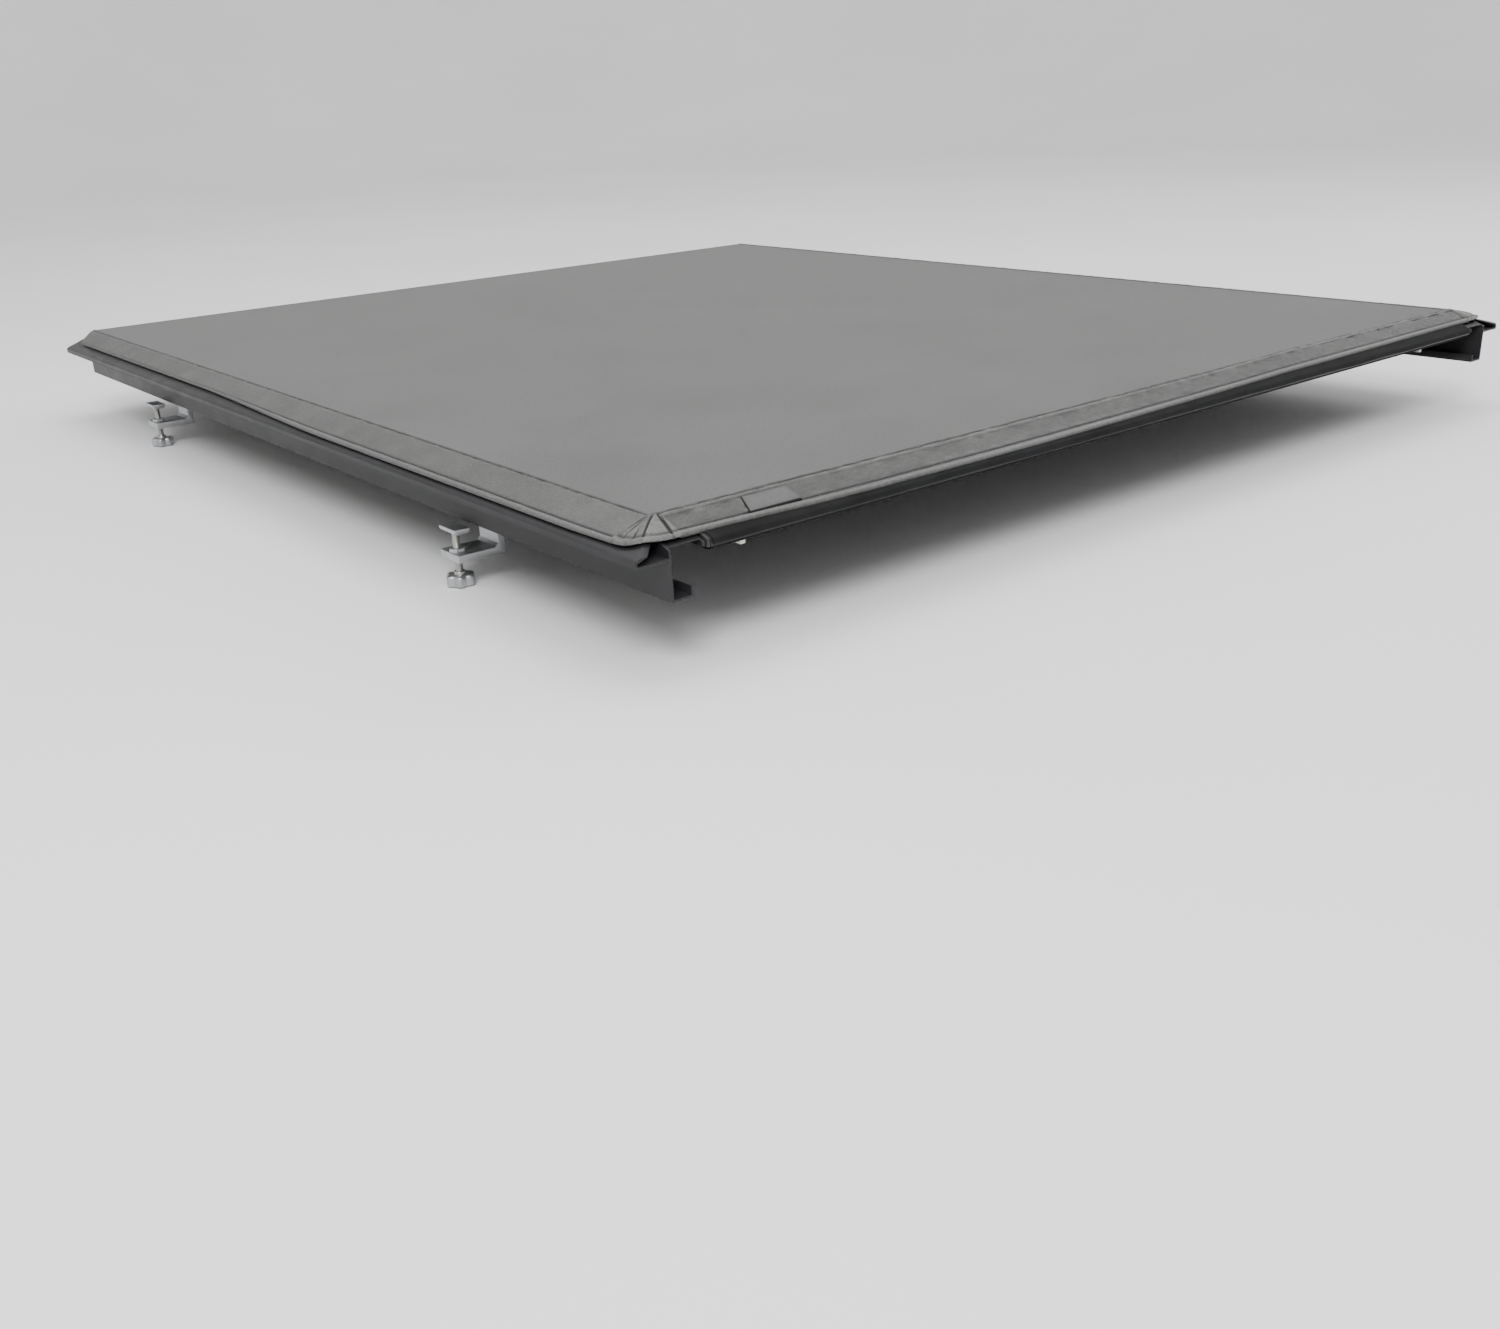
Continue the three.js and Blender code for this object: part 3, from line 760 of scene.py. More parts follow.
# ---------------------------------------------------------------- rear band
RT = np.concatenate(
    [
        [-5.0, -4.4, -3.6, -2.6, -1.6, -0.8, -0.1, 0.5, 1.1, 1.9, 3.0, 4.0, 5.0, 6.1, 7.0, 7.6, 8.4, 9.2],
        np.linspace(10.6, 32.6, 14),
        [34.0, 35.0, 35.8, 36.5, 37.2, 38.1, 39.6, 41.2, 42.6, 43.8, 44.8, 45.7, 46.5, T_END],
    ]
)


def rear_width(x):
    """How far the rear hem reaches down the slope, from end to end of the band."""
    return np.interp(
        x,
        [-665, -630, -570, -510, -450, -300, -200, -90, 0, 90, 150, 210, 330, 450, 570, 665],
        [35, 35.5, 37.5, 40, 41, 41.8, 41.8, 40.5, 39, 37.8, 36.5, 35, 34.2, 33.2, 31.8, 31.2],
    )


def rear_place(t, x):
    """Distance down the rear slope of a point of the band."""
    d = -4.0 * ease((np.asarray(x, float) - 120.0) / 160.0)
    return np.where(t < 0, t + d, d + t * (rear_width(x) - d) / T_END)


def rear_relief(t, x):
    """Outward relief of the rear band: a puckered hem between two sewn lines."""
    h = (0.55 + 0.35 * vnoise(x, 21, 24.0) + 0.3 * vnoise(x, 22, 9.0)) * bell(t, -2.6, 1.5)
    h = h - (1.3 + 0.9 * vnoise(x, 35, 7.0)) * bell(t, 0.5, 1.15)
    h = h + (1.0 + 0.7 * vnoise(x, 29, 8.5)) * bell(t, 4.0, 2.3)
    h = h - (0.4 + 0.35 * vnoise(x, 34, 11.0)) * bell(t, 7.6, 1.1)
    pucker = vnoise(x + 2.0 * vnoise(t, 23, 8.0), 24, 10.5)
    h = h + 0.5 * pucker * bell(t, 9.8, 5.0)
    h = h + 0.3 * vnoise2(x, t * 1.6, 25, 21.0) * ease(t / 12) * ease((40 - t) / 10)
    h = h + 0.36 * vnoise2(x, t, 26, 6.5) * ease(t / 8) * ease((40 - t) / 4)
    h = h + 0.34 * vnoise2(x + 1.6 * t, t * 0.8, 36, 4.2) * ease(t / 8) * ease((40 - t) / 4)
    h = h + 0.5 * vnoise(x, 27, 12.0) * bell(t, 33.0, 4.0)
    h = h - 1.2 * bell(t, 36.5, 1.2)
    h = h + (1.35 + 0.3 * vnoise(x, 28, 40.0)) * bell(t, 43.0, 2.8)
    return h * ease((FLAT - 5.0 - np.abs(x)) / 6.0)


def rear_shade_relief(t, x):
    """The same relief, as the painted shade and highlight use it: less of the broad unevenness, and sunk deeper at
    the sewn grooves.
    """
    h = rear_relief(t, x)
    m = ease(t / 8) * ease((40 - t) / 4)
    h = h - 0.3 * vnoise2(x, t * 1.6, 25, 21.0) * ease(t / 12) * ease((40 - t) / 10)
    h = h - 0.6 * m * (0.36 * vnoise2(x, t, 26, 6.5) + 0.34 * vnoise2(x + 1.6 * t, t * 0.8, 36, 4.2))
    h = h - (0.9 + 0.8 * vnoise(x, 35, 7.0)) * bell(t, 0.5, 1.9)
    h = h - 1.1 * bell(t, 36.5, 1.5) - 0.2
    return h


def rear_wave(x):
    """The hem's edge wanders a little along the band."""
    return 1.5 * vnoise(x, 31, 34.0) + 0.7 * vnoise(x, 32, 13.0)


b = Build("rear_band")
xs = np.linspace(-FLAT + 7.0, FLAT - 7.0, 661)
T, X = np.meshgrid(RT, xs)
REL = rear_relief(T, X)
lift = 0.55 + REL
lift = lift - 1.4 * ease((T - 45.4) / 1.6) ** 2
lift = lift - 1.2 * ease((-3.4 - T) / 1.6)
T2 = rear_place(T, X)
d, z, a = band_point(T2, lift)
d = d - rear_wave(X) * bell(T, -4.5, 5.0)
th = 1.35 * ease((T2 + 1.0) / 2.0) + 0.3
base = np.minimum(lift, 0.55)
di, zi, _ = band_point(T2, base - th)
di = di - rear_wave(X) * bell(T, -4.5, 5.0)
outer = np.stack([X, HEM - d, z], -1)
inner = np.stack([X, HEM - di, zi], -1)
b.sheet(outer, inner, np.stack([X, HEM - T - 200], -1), "band", relief=rear_shade_relief(T, X))
for t, L, pitch in ((0.5, 4.2, 6.4), (36.5, 4.0, 6.2)):
    xx = np.linspace(-FLAT + 9, FLAT - 9, 500)
    l = 0.55 + rear_relief(np.full_like(xx, t), xx)
    dd, zz, aa = band_point(rear_place(np.full_like(xx, t), xx), l)
    stitch(
        b,
        np.stack([xx, HEM - dd, zz], -1),
        np.stack([np.zeros_like(aa), -np.sin(aa), np.cos(aa)], -1),
        L,
        pitch,
        0.55,
    )
# the skirt that hangs behind the rear bar; its near-black rubber finish is painted shade under the bar
xx = np.linspace(-633, 633, 120)
rows_o, rows_i, uvs = [], [], []
for t in (26.0, 30.0, 34.0, 37.0, 40.0, 42.5, 44.5, 45.6):
    dd, zz, _ = band_point(np.full_like(xx, t), -1.5 + 0.25 * vnoise(xx, 37, 50.0))
    di, zi, _ = band_point(np.full_like(xx, t), -2.6)
    rows_o.append(np.stack([xx, HEM - dd, zz], -1))
    rows_i.append(np.stack([xx, HEM - di, zi], -1))
    uvs.append(np.stack([xx, np.full_like(xx, -t - 400)], -1))
for q in np.linspace(0.12, 1, 5):
    zz = np.full_like(xx, 13.2 - 5.7 * q) + (0.5 * vnoise(xx, 33, 60.0) if q == 1 else 0)
    rows_o.append(np.stack([xx, np.full_like(xx, -LENGTH + 0.9), zz], -1))
    rows_i.append(np.stack([xx, np.full_like(xx, -LENGTH + 2.1), zz], -1))
    uvs.append(np.stack([xx, zz - 460], -1))
b.sheet(np.array(rows_o), np.array(rows_i), np.array(uvs), "rubber")
# a near-black strip showing along the label's left and lower sides: painted shadow of the label
bx, bt = np.array([-577.8, -577.4, -560.0, -530.0, -522.4, -522.1]), np.array([7.2, 7.6, 15.0, 24.0, 30.6, 31.0])
T, X = np.meshgrid(bt, bx)
low = 1.15 - 0.5 * (X < -577.6) - 0.5 * (T > 30.8) + 0 * T
d, z, a_ = band_point(T, low)
di, zi, _ = band_point(T, 0 * T - 0.2)
skew = -0.36 * (T - 19.0) * ease((-545.0 - X) / 40.0)
b.sheet(
    np.stack([X + skew, HEM - d, z], -1), np.stack([X + skew, HEM - di, zi], -1),
    np.stack([X, HEM - T - 560], -1), "rubber",
)
rear_band = b.make("rear_rail")


# ---------------------------------------------------------------- rear corners
def corner(side):
    """The sheet is folded round the rear corner in two tucks and a sewn end."""
    name = "left" if side < 0 else "right"
    b = Build(f"corner_tuck_{name}")
    nphi, radii = 181, np.concatenate([[0.004], np.linspace(0.05, 1.0, 56)])
    phi = np.linspace(0, math.pi / 2, nphi)
    R, PH = np.meshgrid(radii, phi)
    # plan outline: the two hems joined by a round corner, about the knot of the folds
    ax, ay = 9.0, 4.0
    ex = ax + float(flap_width(HEM)) * CA
    ey = ay + float(rear_width(side * FLAT)) * CA
    p = 3.0
    rmax = 1.0 / (((np.cos(phi) / ex) ** p + (np.sin(phi) / ey) ** p) ** (1 / p))
    rr = R * rmax[:, None]
    dx, dy = rr * np.cos(PH) - ax, rr * np.sin(PH) - ay
    q = 7.0
    dist = (np.clip(dx, 0, None) ** q + np.clip(dy, 0, None) ** q) ** (1 / q)
    z0 = TOP + 0.55 - dist * SLOPE
    lift = np.zeros_like(z0)
    # folds: each tuck starts with a step and sinks back towards the next
    near = ease((R - 0.05) / 0.3)
    # the values gathered here sink the relief attribute in the fold grooves, at the sewn end and along the hem:
    # painted shade
    groove_shade = np.zeros_like(z0)
    folds = ((15, 1.2, 0.16, 0.9, 0.26), (27, 0.9, 0.12, 0.8, 0.5), (38.5, 2.0, 0.55, 1.3, 0.02))
    for deg, hgt, fall, wide, start in folds:
        f = math.radians(deg)
        bent = f + 0.05 * np.sin(R * 3.0 + f * 9.0) * (R - 0.3)
        here = ease((R - start) / 0.22) * (1 - 0.8 * ease((R - 0.74) / 0.14))
        up = ease(((PH - bent) * rr + 0.4) / 1.3)
        lift += hgt * up * np.exp(-np.clip(PH - bent, 0, None) / fall) * here
        groove = bell((PH - bent) * rr + 0.5, 0.0, wide) * here
        lift -= 1.2 * groove * ease(rr / 9.0)
        groove_shade -= (1.0 + 0.5 * (hgt > 1.5)) * groove
        ridge = bell((bent - PH) * rr, 2.6, 1.3) * here
        lift += 0.5 * ridge
    seam = math.radians(76) + 0.03 * (R - 0.5)
    shut = bell((PH - seam) * rr, 0.0, 1.5) * ease((R - 0.02) / 0.12) * (1 - 0.7 * ease((R - 0.8) / 0.1))
    lift -= 2.2 * shut * ease(rr / 10.0)  # the sewn end of the rear band
    groove_shade -= 2.2 * shut
    lift += 0.9 * bell((PH - seam) * rr, 2.6, 1.2) * ease((R - 0.1) / 0.2) * (1 - ease((R - 0.78) / 0.1))
    lift += 0.35 * vnoise2(dx * 1.0, dy, 41 if side < 0 else 42, 8.0) * near
    lift += 0.3 * vnoise2(dx, dy, 43, 3.6) * near
    lift += 0.95 * bell(R, 0.93, 0.05)
    lift -= 0.8 * bell(R, 0.82, 0.025)
    groove_shade -= 0.6 * bell(R, 0.82, 0.03)
    rel = lift + groove_shade
    lift -= 1.3 * ease((R - 0.972) / 0.028) ** 2
    # the two ends lap over the flap and the rear band
    lap = 1 - ease(PH / 0.12) * ease((math.pi / 2 - PH) / 0.12)
    lift = lift * (1 - 0.75 * lap * (1 - ease((R - 0.8) / 0.08))) + 0.75 * lap
    # the folds gather into a soft knot at the inner corner
    lift = 0.5 + (lift - 0.5) * ease((rr - 1.0) / 7.0)
    z = z0 + lift
    out = np.stack([side * (FLAT + dx), HEM - dy, z], -1)
    inn = out.copy()
    inn[..., 2] = z0 - 1.5
    inn[..., 0] = side * (FLAT + dx - 0.4 * R * np.cos(PH))
    inn[..., 1] = HEM - dy + 0.4 * R * np.sin(PH)
    uv = np.stack([side * (FLAT + dx) + 40, HEM - dy - 900], -1)
    b.sheet(out, inn, uv, "band", relief=rel + 0.15)
    # a row of stitches closes the band's end
    rr1 = np.linspace(0.1, 0.78, 12)
    i = int(round(math.radians(76.3) / (math.pi / 2) * (nphi - 1)))
    line = np.stack([np.interp(rr1, radii, out[i, :, c2]) for c2 in range(3)], -1)
    stitch(b, line, (0, 0, 1), 2.8, 4.6, 0.5)
    o = b.make("rear_rail")
    return o


for side in (-1, 1):
    corner(side)

# a small blank label sewn to the rear band near its left end
b = Build("band_label")
lx = np.concatenate([[-576.6, -576.0, -575.2], np.linspace(-574.0, -524.4, 30), [-523.3, -522.6, -522.2]])
lt = np.concatenate([[7.4, 7.9, 8.6], np.linspace(9.4, 27.4, 15), [28.3, 28.9, 29.4]])
T, X = np.meshgrid(lt, lx)
edge = np.minimum(np.minimum(X - lx[0], lx[-1] - X), np.minimum(T - lt[0], lt[-1] - T))
lab = 2.0 * ease((edge + 0.5) / 1.3) - 0.25 * bell(edge, 2.4, 0.5)
lab = lab + 0.12 * vnoise2(X, T, 61, 9.0)
ridge = 0.5 + 0.5 * np.cos(2 * np.pi * (X + 0.9 * T) / 4.2)
lab = lab + 0.28 * ridge * ease((edge - 4.0) / 1.0)
d, z, a_ = band_point(T, lab)
di, zi, _ = band_point(T, 0 * T - 0.2)
skew = -0.36 * (T - 19.0)
o_ = np.stack([X + skew * ease((-545.0 - X) / 40.0), HEM - d, z], -1)
i_ = np.stack([X + skew * ease((-545.0 - X) / 40.0), HEM - di, zi], -1)
# the relief attribute is lowered by 1.7 so the label's rim turns near-black: painted shade round the label
b.sheet(o_, i_, np.stack([X, HEM - T - 500], -1), "label", relief=lab - 1.7)
label = b.make("rear_rail")


# ---------------------------------------------------------------- under the sheet
def pocket(n):
    """A sleeve of sheet vinyl that holds a bow to the underside of the cover."""
    k = BOWS[n - 1]
    yc = -MID[k - 1]
    b = Build(f"bow_sleeve_{n}")
    prof = [(25.0, 27.9), (21.0, 27.85), (17.5, 27.6), (15.0, 26.4), (14.3, 24.0), (14.0, 20.5)]
    prof += [(13.4, 17.9), (11.4, 16.7), (8.0, 16.45), (3.0, 16.4)]
    prof = prof + [(-y, z) for y, z in prof[::-1]]
    prof = np.array(prof)
    # finer along the profile, with an inner face 1.05 mm in
    seg = np.linalg.norm(np.diff(prof, axis=0), axis=1)
    s_ = np.concatenate([[0], np.cumsum(seg)])
    q = np.linspace(0, s_[-1], 64)
    P = np.stack([np.interp(q, s_, prof[:, i]) for i in range(2)], 1)
    for _ in range(2):
        P[1:-1] = (P[:-2] + 2 * P[1:-1] + P[2:]) / 4
    tan = np.gradient(P, axis=0)
    tan /= np.linalg.norm(tan, axis=1)[:, None]
    nrm = np.stack([tan[:, 1], -tan[:, 0]], 1)  # towards the bow
    xs = np.linspace(-608, 608, 153)
    Q, X = np.meshgrid(q, xs)
    W = 0.35 * vnoise2(X, Q, 70 + n, 22.0) + 0.25 * vnoise(X, 74 + n, 11.0) * bell(Q, 4.0, 4.0)
    W = W + 0.25 * vnoise(X, 78 + n, 11.0) * bell(Q, s_[-1] - 4.0, 4.0)
    away = np.where((Q < 14) | (Q > s_[-1] - 14), 0.15, 1.0)
    W = W * away * ease((609 - np.abs(X)) / 8.0)
    oy = P[:, 0][None, :] - nrm[:, 0][None, :] * W
    oz = P[:, 1][None, :] - nrm[:, 1][None, :] * W
    iy = oy + nrm[:, 0][None, :] * 1.05
    iz = np.minimum(oz + nrm[:, 1][None, :] * 1.05, 28.3)
    outer = np.stack([X, yc + oy, oz], -1)
    inner = np.stack([X, yc + iy, iz], -1)
    b.sheet(outer, inner, np.stack([Q, X], -1), "sleeve", back="sleeve", relief=W)
    for off in (18.4, 22.6, -18.4, -22.6):
        xx = np.linspace(-606, 606, 240)
        zz = 27.66 if abs(off) < 20 else 27.84
        stitch(b, np.stack([xx, xx * 0 + yc + off, xx * 0 + zz], -1), (0, 0, -1), 3.4, 5.4, 0.4)
    o = b.make(BODY[k])


for n in (1, 2, 3):
    pocket(n)


def rbox(b, lo, hi, key, r=0.8, seg=3, cuts=(), rot=None):
    """A box with rounded edges added to a build, from two corners in layout mm."""
    bm = bmesh.new()
    bmesh.ops.create_cube(bm, size=1.0)
    lo, hi = np.minimum(lo, hi), np.maximum(lo, hi)
    for v in bm.verts:
        v.co = Vector([(lo[i] + hi[i]) / 2 + v.co[i] * (hi[i] - lo[i]) for i in range(3)])
    bmesh.ops.bevel(bm, geom=list(bm.edges), offset=r, segments=seg, profile=0.5, affect="EDGES")
    bm.verts.index_update()
    v = np.array([x.co[:] for x in bm.verts])
    if rot is not None:
        v = rot(v)
    f = [[x.index for x in g.verts] for g in bm.faces]
    bm.free()
    b.add(v, f, key)


def strap(side):
    """Webbing sewn to the header and folded up on itself, with its side-release buckle."""
    name = "left" if side < 0 else "right"
    x0 = 350.0 * side
    b = Build(f"strap_webbing_{name}")
    # the fold path, front to back and back again, five layers deep
    pts = [(-47.4, 23.9), (-60.0, 23.9)]
    zs = [23.6, 21.9, 20.2, 18.5, 16.8]
    back, fore = -155.0, -74.0
    pts.append((-100.0, 23.7))
    for i, z in enumerate(zs):
        if i % 2 == 0:
            pts += [(back + 6, z), (back, z - 0.1), (back - 1.6, z - 0.85), (back, z - 1.6)]
        else:
            pts += [(fore - 6, z), (fore, z - 0.1), (fore + 1.6, z - 0.85), (fore, z - 1.6)]
    pts = pts[:-2] + [(-120.0, 16.6), (-150.0, 16.5), (-164.0, 17.4)]
    pts = np.array(pts)
    seg = np.linalg.norm(np.diff(pts, axis=0), axis=1)
    s_ = np.concatenate([[0], np.cumsum(seg)])
    q = np.linspace(0, s_[-1], 420)
    P = np.stack([np.interp(q, s_, pts[:, i]) for i in range(2)], 1)
    P[:, 1] += 0.22 * vnoise(q, 90 + int(side), 31.0) * ease(q / 20)
    for _ in range(2):
        P[1:-1] = (P[:-2] + 2 * P[1:-1] + P[2:]) / 4
    tan = np.gradient(P, axis=0)
    tan /= np.linalg.norm(tan, axis=1)[:, None]
    nrm = np.stack([-tan[:, 1], tan[:, 0]], 1)
    us = np.array([-12.4, -12.0, -11.2, -8.0, -4.0, 0.0, 4.0, 8.0, 11.2, 12.0, 12.4])
    U, Q = np.meshgrid(us, q)
    th = 0.62 - 0.3 * ease((np.abs(U) - 11.4) / 1.0)
    wob = 0.35 * vnoise(Q, 95 + int(side), 60.0)
    X = x0 + U + wob
    def face(sign):
        return np.stack([X, P[:, 0][:, None] + sign * nrm[:, 0][:, None] * th,
                         P[:, 1][:, None] + sign * nrm[:, 1][:, None] * th], -1)
    b.sheet(face(1), face(-1), np.stack([U, Q], -1), "webbing", back="webbing")
    # box stitch on the header tab
    z = 24.6
    c = [(x0 - 9, -50), (x0 + 9, -50), (x0 + 9, -62), (x0 - 9, -62), (x0 - 9, -50), (x0 + 9, -62)]
    for p0, p1 in zip(c[:-1], c[1:]):
        n_ = 12
        line = np.stack([np.linspace(p0[i], p1[i], n_) for i in range(2)] + [np.full(n_, z)], 1)
        stitch(b, line, (0, 0, 1), 2.4, 3.6, 0.34)
    # keeper loop that holds the folds together
    loop = []
    for a in np.linspace(0, 2 * math.pi, 73)[:-1]:
        c_, s2 = math.cos(a), math.sin(a)
        p = 6.0
        k = 1 / (abs(c_) ** p + abs(s2) ** p) ** (1 / p)
        loop.append((x0 + 13.9 * k * c_, 20.2 + 5.2 * k * s2))
    loop = np.array(loop)
    rows_v, n_ = [], len(loop)
    for y, g in ((-106.0, 0.0), (-105.2, 0.55), (-103.0, 0.8), (-92.0, 0.8), (-89.8, 0.55), (-89.0, 0.0)):
        cx = loop - np.array([x0, 20.2])
        r_ = np.linalg.norm(cx, axis=1)[:, None]
        ex = cx / r_ * g
        rows_v.append(np.stack([loop[:, 0] + ex[:, 0], np.full(n_, y), loop[:, 1] + ex[:, 1] * 0.5], 1))
    v = np.concatenate(rows_v)
    f = []
    for i in range(len(rows_v) - 1):
        for j in range(n_):
            k = (j + 1) % n_
            f.append([i * n_ + j, (i + 1) * n_ + j, (i + 1) * n_ + k, i * n_ + k])
    b.add(v, f, "rubber")
    webbing = b.make(f"strap_{name}", [f"storage_strap_{name}"])

    b = Build(f"buckle_{name}")
    # socket: a shell with side windows, and the plug's two prongs showing in them
    for x_a, x_b, y_a, y_b, z_a, z_b, r in (
        (-17.6, 17.6, -163.4, -160.6, 15.6, 24.4, 1.2),   # webbing bar at the front
        (-17.6, -14.4, -176.0, -161.5, 16.2, 23.8, 1.3),
        (14.4, 17.6, -176.0, -161.5, 16.2, 23.8, 1.3),
        (-15.4, 15.4, -169.4, -166.6, 17.6, 22.4, 1.2),   # ladder bar
        (-14.6, 14.6, -186.5, -173.0, 15.2, 24.6, 2.2),   # shell
        (-17.7, -12.5, -184.0, -177.5, 17.0, 23.0, 1.8),  # squeeze tabs
        (12.5, 17.7, -184.0, -177.5, 17.0, 23.0, 1.8),
        (-15.0, 15.0, -191.5, -187.2, 16.4, 23.6, 1.6),   # plug flange
        (-14.2, -11.2, -199.6, -190.5, 17.2, 22.8, 1.3),
        (11.2, 14.2, -199.6, -190.5, 17.2, 22.8, 1.3),
        (-14.0, 14.0, -199.7, -196.9, 17.4, 22.6, 1.2),
    ):
        rbox(b, (x0 + x_a, y_a, z_a), (x0 + x_b, y_b, z_b), "plastic", r)
    for k in range(5):
        rbox(b, (x0 - 17.95, -183.0 + 1.2 * k, 18.0), (x0 - 17.2, -182.4 + 1.2 * k, 22.0), "plastic", 0.2, 2)
        rbox(b, (x0 + 17.2, -183.0 + 1.2 * k, 18.0), (x0 + 17.95, -182.4 + 1.2 * k, 22.0), "plastic", 0.2, 2)
    b.make(f"strap_{name}", [f"strap_buckle_{name}"])


for side in (-1, 1):
    strap(side)


def extrusion(b, prof, xs, axis, key, wob=None, caps=True):
    """A closed profile (two columns) swept straight along x or y, optionally uneven."""
    prof = np.asarray(prof, float)
    n_, m_ = len(prof), len(xs)
    v = []
    for i, t in enumerate(xs):
        p = prof + (0 if wob is None else wob(i, t))
        if axis == "x":
            v.append(np.stack([np.full(n_, t), p[:, 0], p[:, 1]], 1))
        else:
            v.append(np.stack([p[:, 0], np.full(n_, t), p[:, 1]], 1))
    v = np.concatenate(v)
    area2 = np.sum(prof[:, 0] * np.roll(prof[:, 1], -1) - np.roll(prof[:, 0], -1) * prof[:, 1])
    flip = (area2 > 0) == (axis == "x") == (xs[-1] > xs[0])
    if axis == "y":
        flip = (area2 < 0) == (xs[-1] > xs[0])
    else:
        flip = (area2 > 0) == (xs[-1] > xs[0])
    f = []
    for i in range(m_ - 1):
        for j in range(n_):
            k = (j + 1) % n_
            q = [i * n_ + j, i * n_ + k, (i + 1) * n_ + k, (i + 1) * n_ + j]
            f.append(q if not flip else q[::-1])
    per = np.concatenate([[0], np.cumsum(np.linalg.norm(np.diff(prof, axis=0), axis=1))])
    uv = np.stack([np.tile(per, m_), np.repeat(xs, n_)], 1)
    b.add(v, f, key, uv)
    ends = [list(range(n_)), [(m_ - 1) * n_ + j for j in range(n_)][::-1]]
    if not flip:
        ends = [e[::-1] for e in ends]
    b.add(v, ends, key, uv, flat=True)


# ribbed rubber strip under the header, and a bulb seal under the rear bar
b = Build("header_seal")
pr = []
for y in np.linspace(-36.6, -7.4, 74):
    u = (y + 22.0) / 14.6
    z = 1.9 - 1.75 * abs(math.cos(math.pi * (y + 22.0) / 7.3)) * (1 - 0.25 * u * u)
    pr.append((y, max(0.05, z) if abs(u) < 0.97 else 1.2))
pr += [(-7.1, 2.4), (-8.2, 3.9), (-35.8, 3.9), (-36.9, 2.4)]
extrusion(b, pr, np.linspace(-631.5, 631.5, 120), "x", "rubber",
          lambda i, t: np.array([0.0, 0.0]) + np.array([0.12 * float(vnoise(t, 101, 55.0)), 0.0]))
b.make("frame", ["bulkhead_seal"])

b = Build("bar_seal")
pr = [(-1585.6, 4.6), (-1585.6, 3.2), (-1583.2, 2.9)]
for a in np.linspace(math.radians(170), math.radians(370), 30):
    pr.append((-1575.2 + 7.6 * math.cos(a), 2.55 + 2.5 * math.sin(a)))
pr += [(-1566.8, 3.0), (-1565.0, 3.3), (-1564.8, 4.6)]
pr = [(y, max(0.03, z)) for y, z in pr]
extrusion(b, pr, np.linspace(-631.5, 631.5, 120), "x", "rubber",
          lambda i, t: np.array([0.15 * float(vnoise(t, 103, 70.0)), 0.0]))
b.make("rear_rail", ["tailgate_seal"])

for side in (-1, 1):
    name = "left" if side < 0 else "right"
    b = Build(f"rail_foam_{name}")
    pr = [(681.2, 0.5), (681.5, 0.12), (682.4, 0.02)]
    pr += [(x, 0.02) for x in np.linspace(684, 705, 12)]
    pr += [(706.6, 0.02), (707.5, 0.12), (707.8, 0.5), (707.9, 1.4), (707.6, 1.96), (681.4, 1.96), (681.1, 1.4)]
    pr = [(side * x, z) for x, z in pr]
    extrusion(b, pr, np.linspace(-1577.5, -8.5, 400), "y", "foam",
              lambda i, t: np.array([0.22 * float(vnoise(t, 105 + side, 9.0)), 0.0]))
    o = b.make("frame", [f"rail_seal_{name}"])

    # hook strip stuck along the rail's sloping face, with cut pile standing off it
    b = Build(f"hook_strip_{name}")
    ys = np.linspace(-1537.6, -8.4, 700)
    cs = np.concatenate([[667.2, 667.6], np.linspace(668.4, 703.6, 23), [704.4, 704.8]])
    C_, Y = np.meshgrid(cs, ys)
    e = np.minimum(C_ - 667.2, 704.8 - C_)
    pile = 0.22 * vnoise2(C_, Y, 111 + side, 1.9) + 0.1 * vnoise2(C_, Y, 113 + side, 7.0)
    top = 2.95 + 0.55 * (1 - ease(e / 1.0)) - pile * ease((e - 0.6) / 1.2)
    C_ = 667.2 + (C_ - 667.2) * ((flap_width(Y) - 4.5) * CA - 2.2) / 37.6
    z_o = TOP - SLOPE * (C_ - FLAT) - top
    z_i = TOP - SLOPE * (C_ - FLAT) - 4.0 + 0 * e
    o_ = np.stack([side * C_, Y, z_o], -1)
    i_ = np.stack([side * C_, Y, z_i], -1)
    b.sheet(o_, i_, np.stack([side * C_, Y], -1), "hook", back="hook")
    o = b.make("frame", [f"hook_tape_{name}"])


# ---------------------------------------------------------------- hard parts
def refine(node, key, width=0.45, seg=2, angle=28.0, body=None, piece=None):
    """A copy of a CAD node with its edges broken by a small radius."""
    src = frame["nodes"][node]
    bm = bmesh.new()
    bm.from_mesh(src.data)
    bm.transform(src.matrix_world)
    bmesh.ops.remove_doubles(bm, verts=bm.verts, dist=2e-6)
    bmesh.ops.dissolve_limit(
        bm, angle_limit=math.radians(0.6), verts=bm.verts, edges=bm.edges, delimit=set()
    )
    me = bpy.data.meshes.new(piece or node + "_part")
    bm.to_mesh(me)
    bm.free()
    for p in me.polygons:
        p.use_smooth = True
    me.materials.append(MAT[key])
    o = bpy.data.objects.new(piece or node + "_part", me)
    bpy.context.scene.collection.objects.link(o)
    bev = o.modifiers.new("edges", "BEVEL")
    bev.width = width / 1000.0
    bev.segments = seg
    bev.limit_method = "ANGLE"
    bev.angle_limit = math.radians(angle)
    bev.use_clamp_overlap = True
    bev.harden_normals = True
    bev.miter_outer = "MITER_ARC"
    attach(o, body or body_of(src)[0] if not isinstance(body_of(src), str) else body_of(src))
    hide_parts(node)
    return o


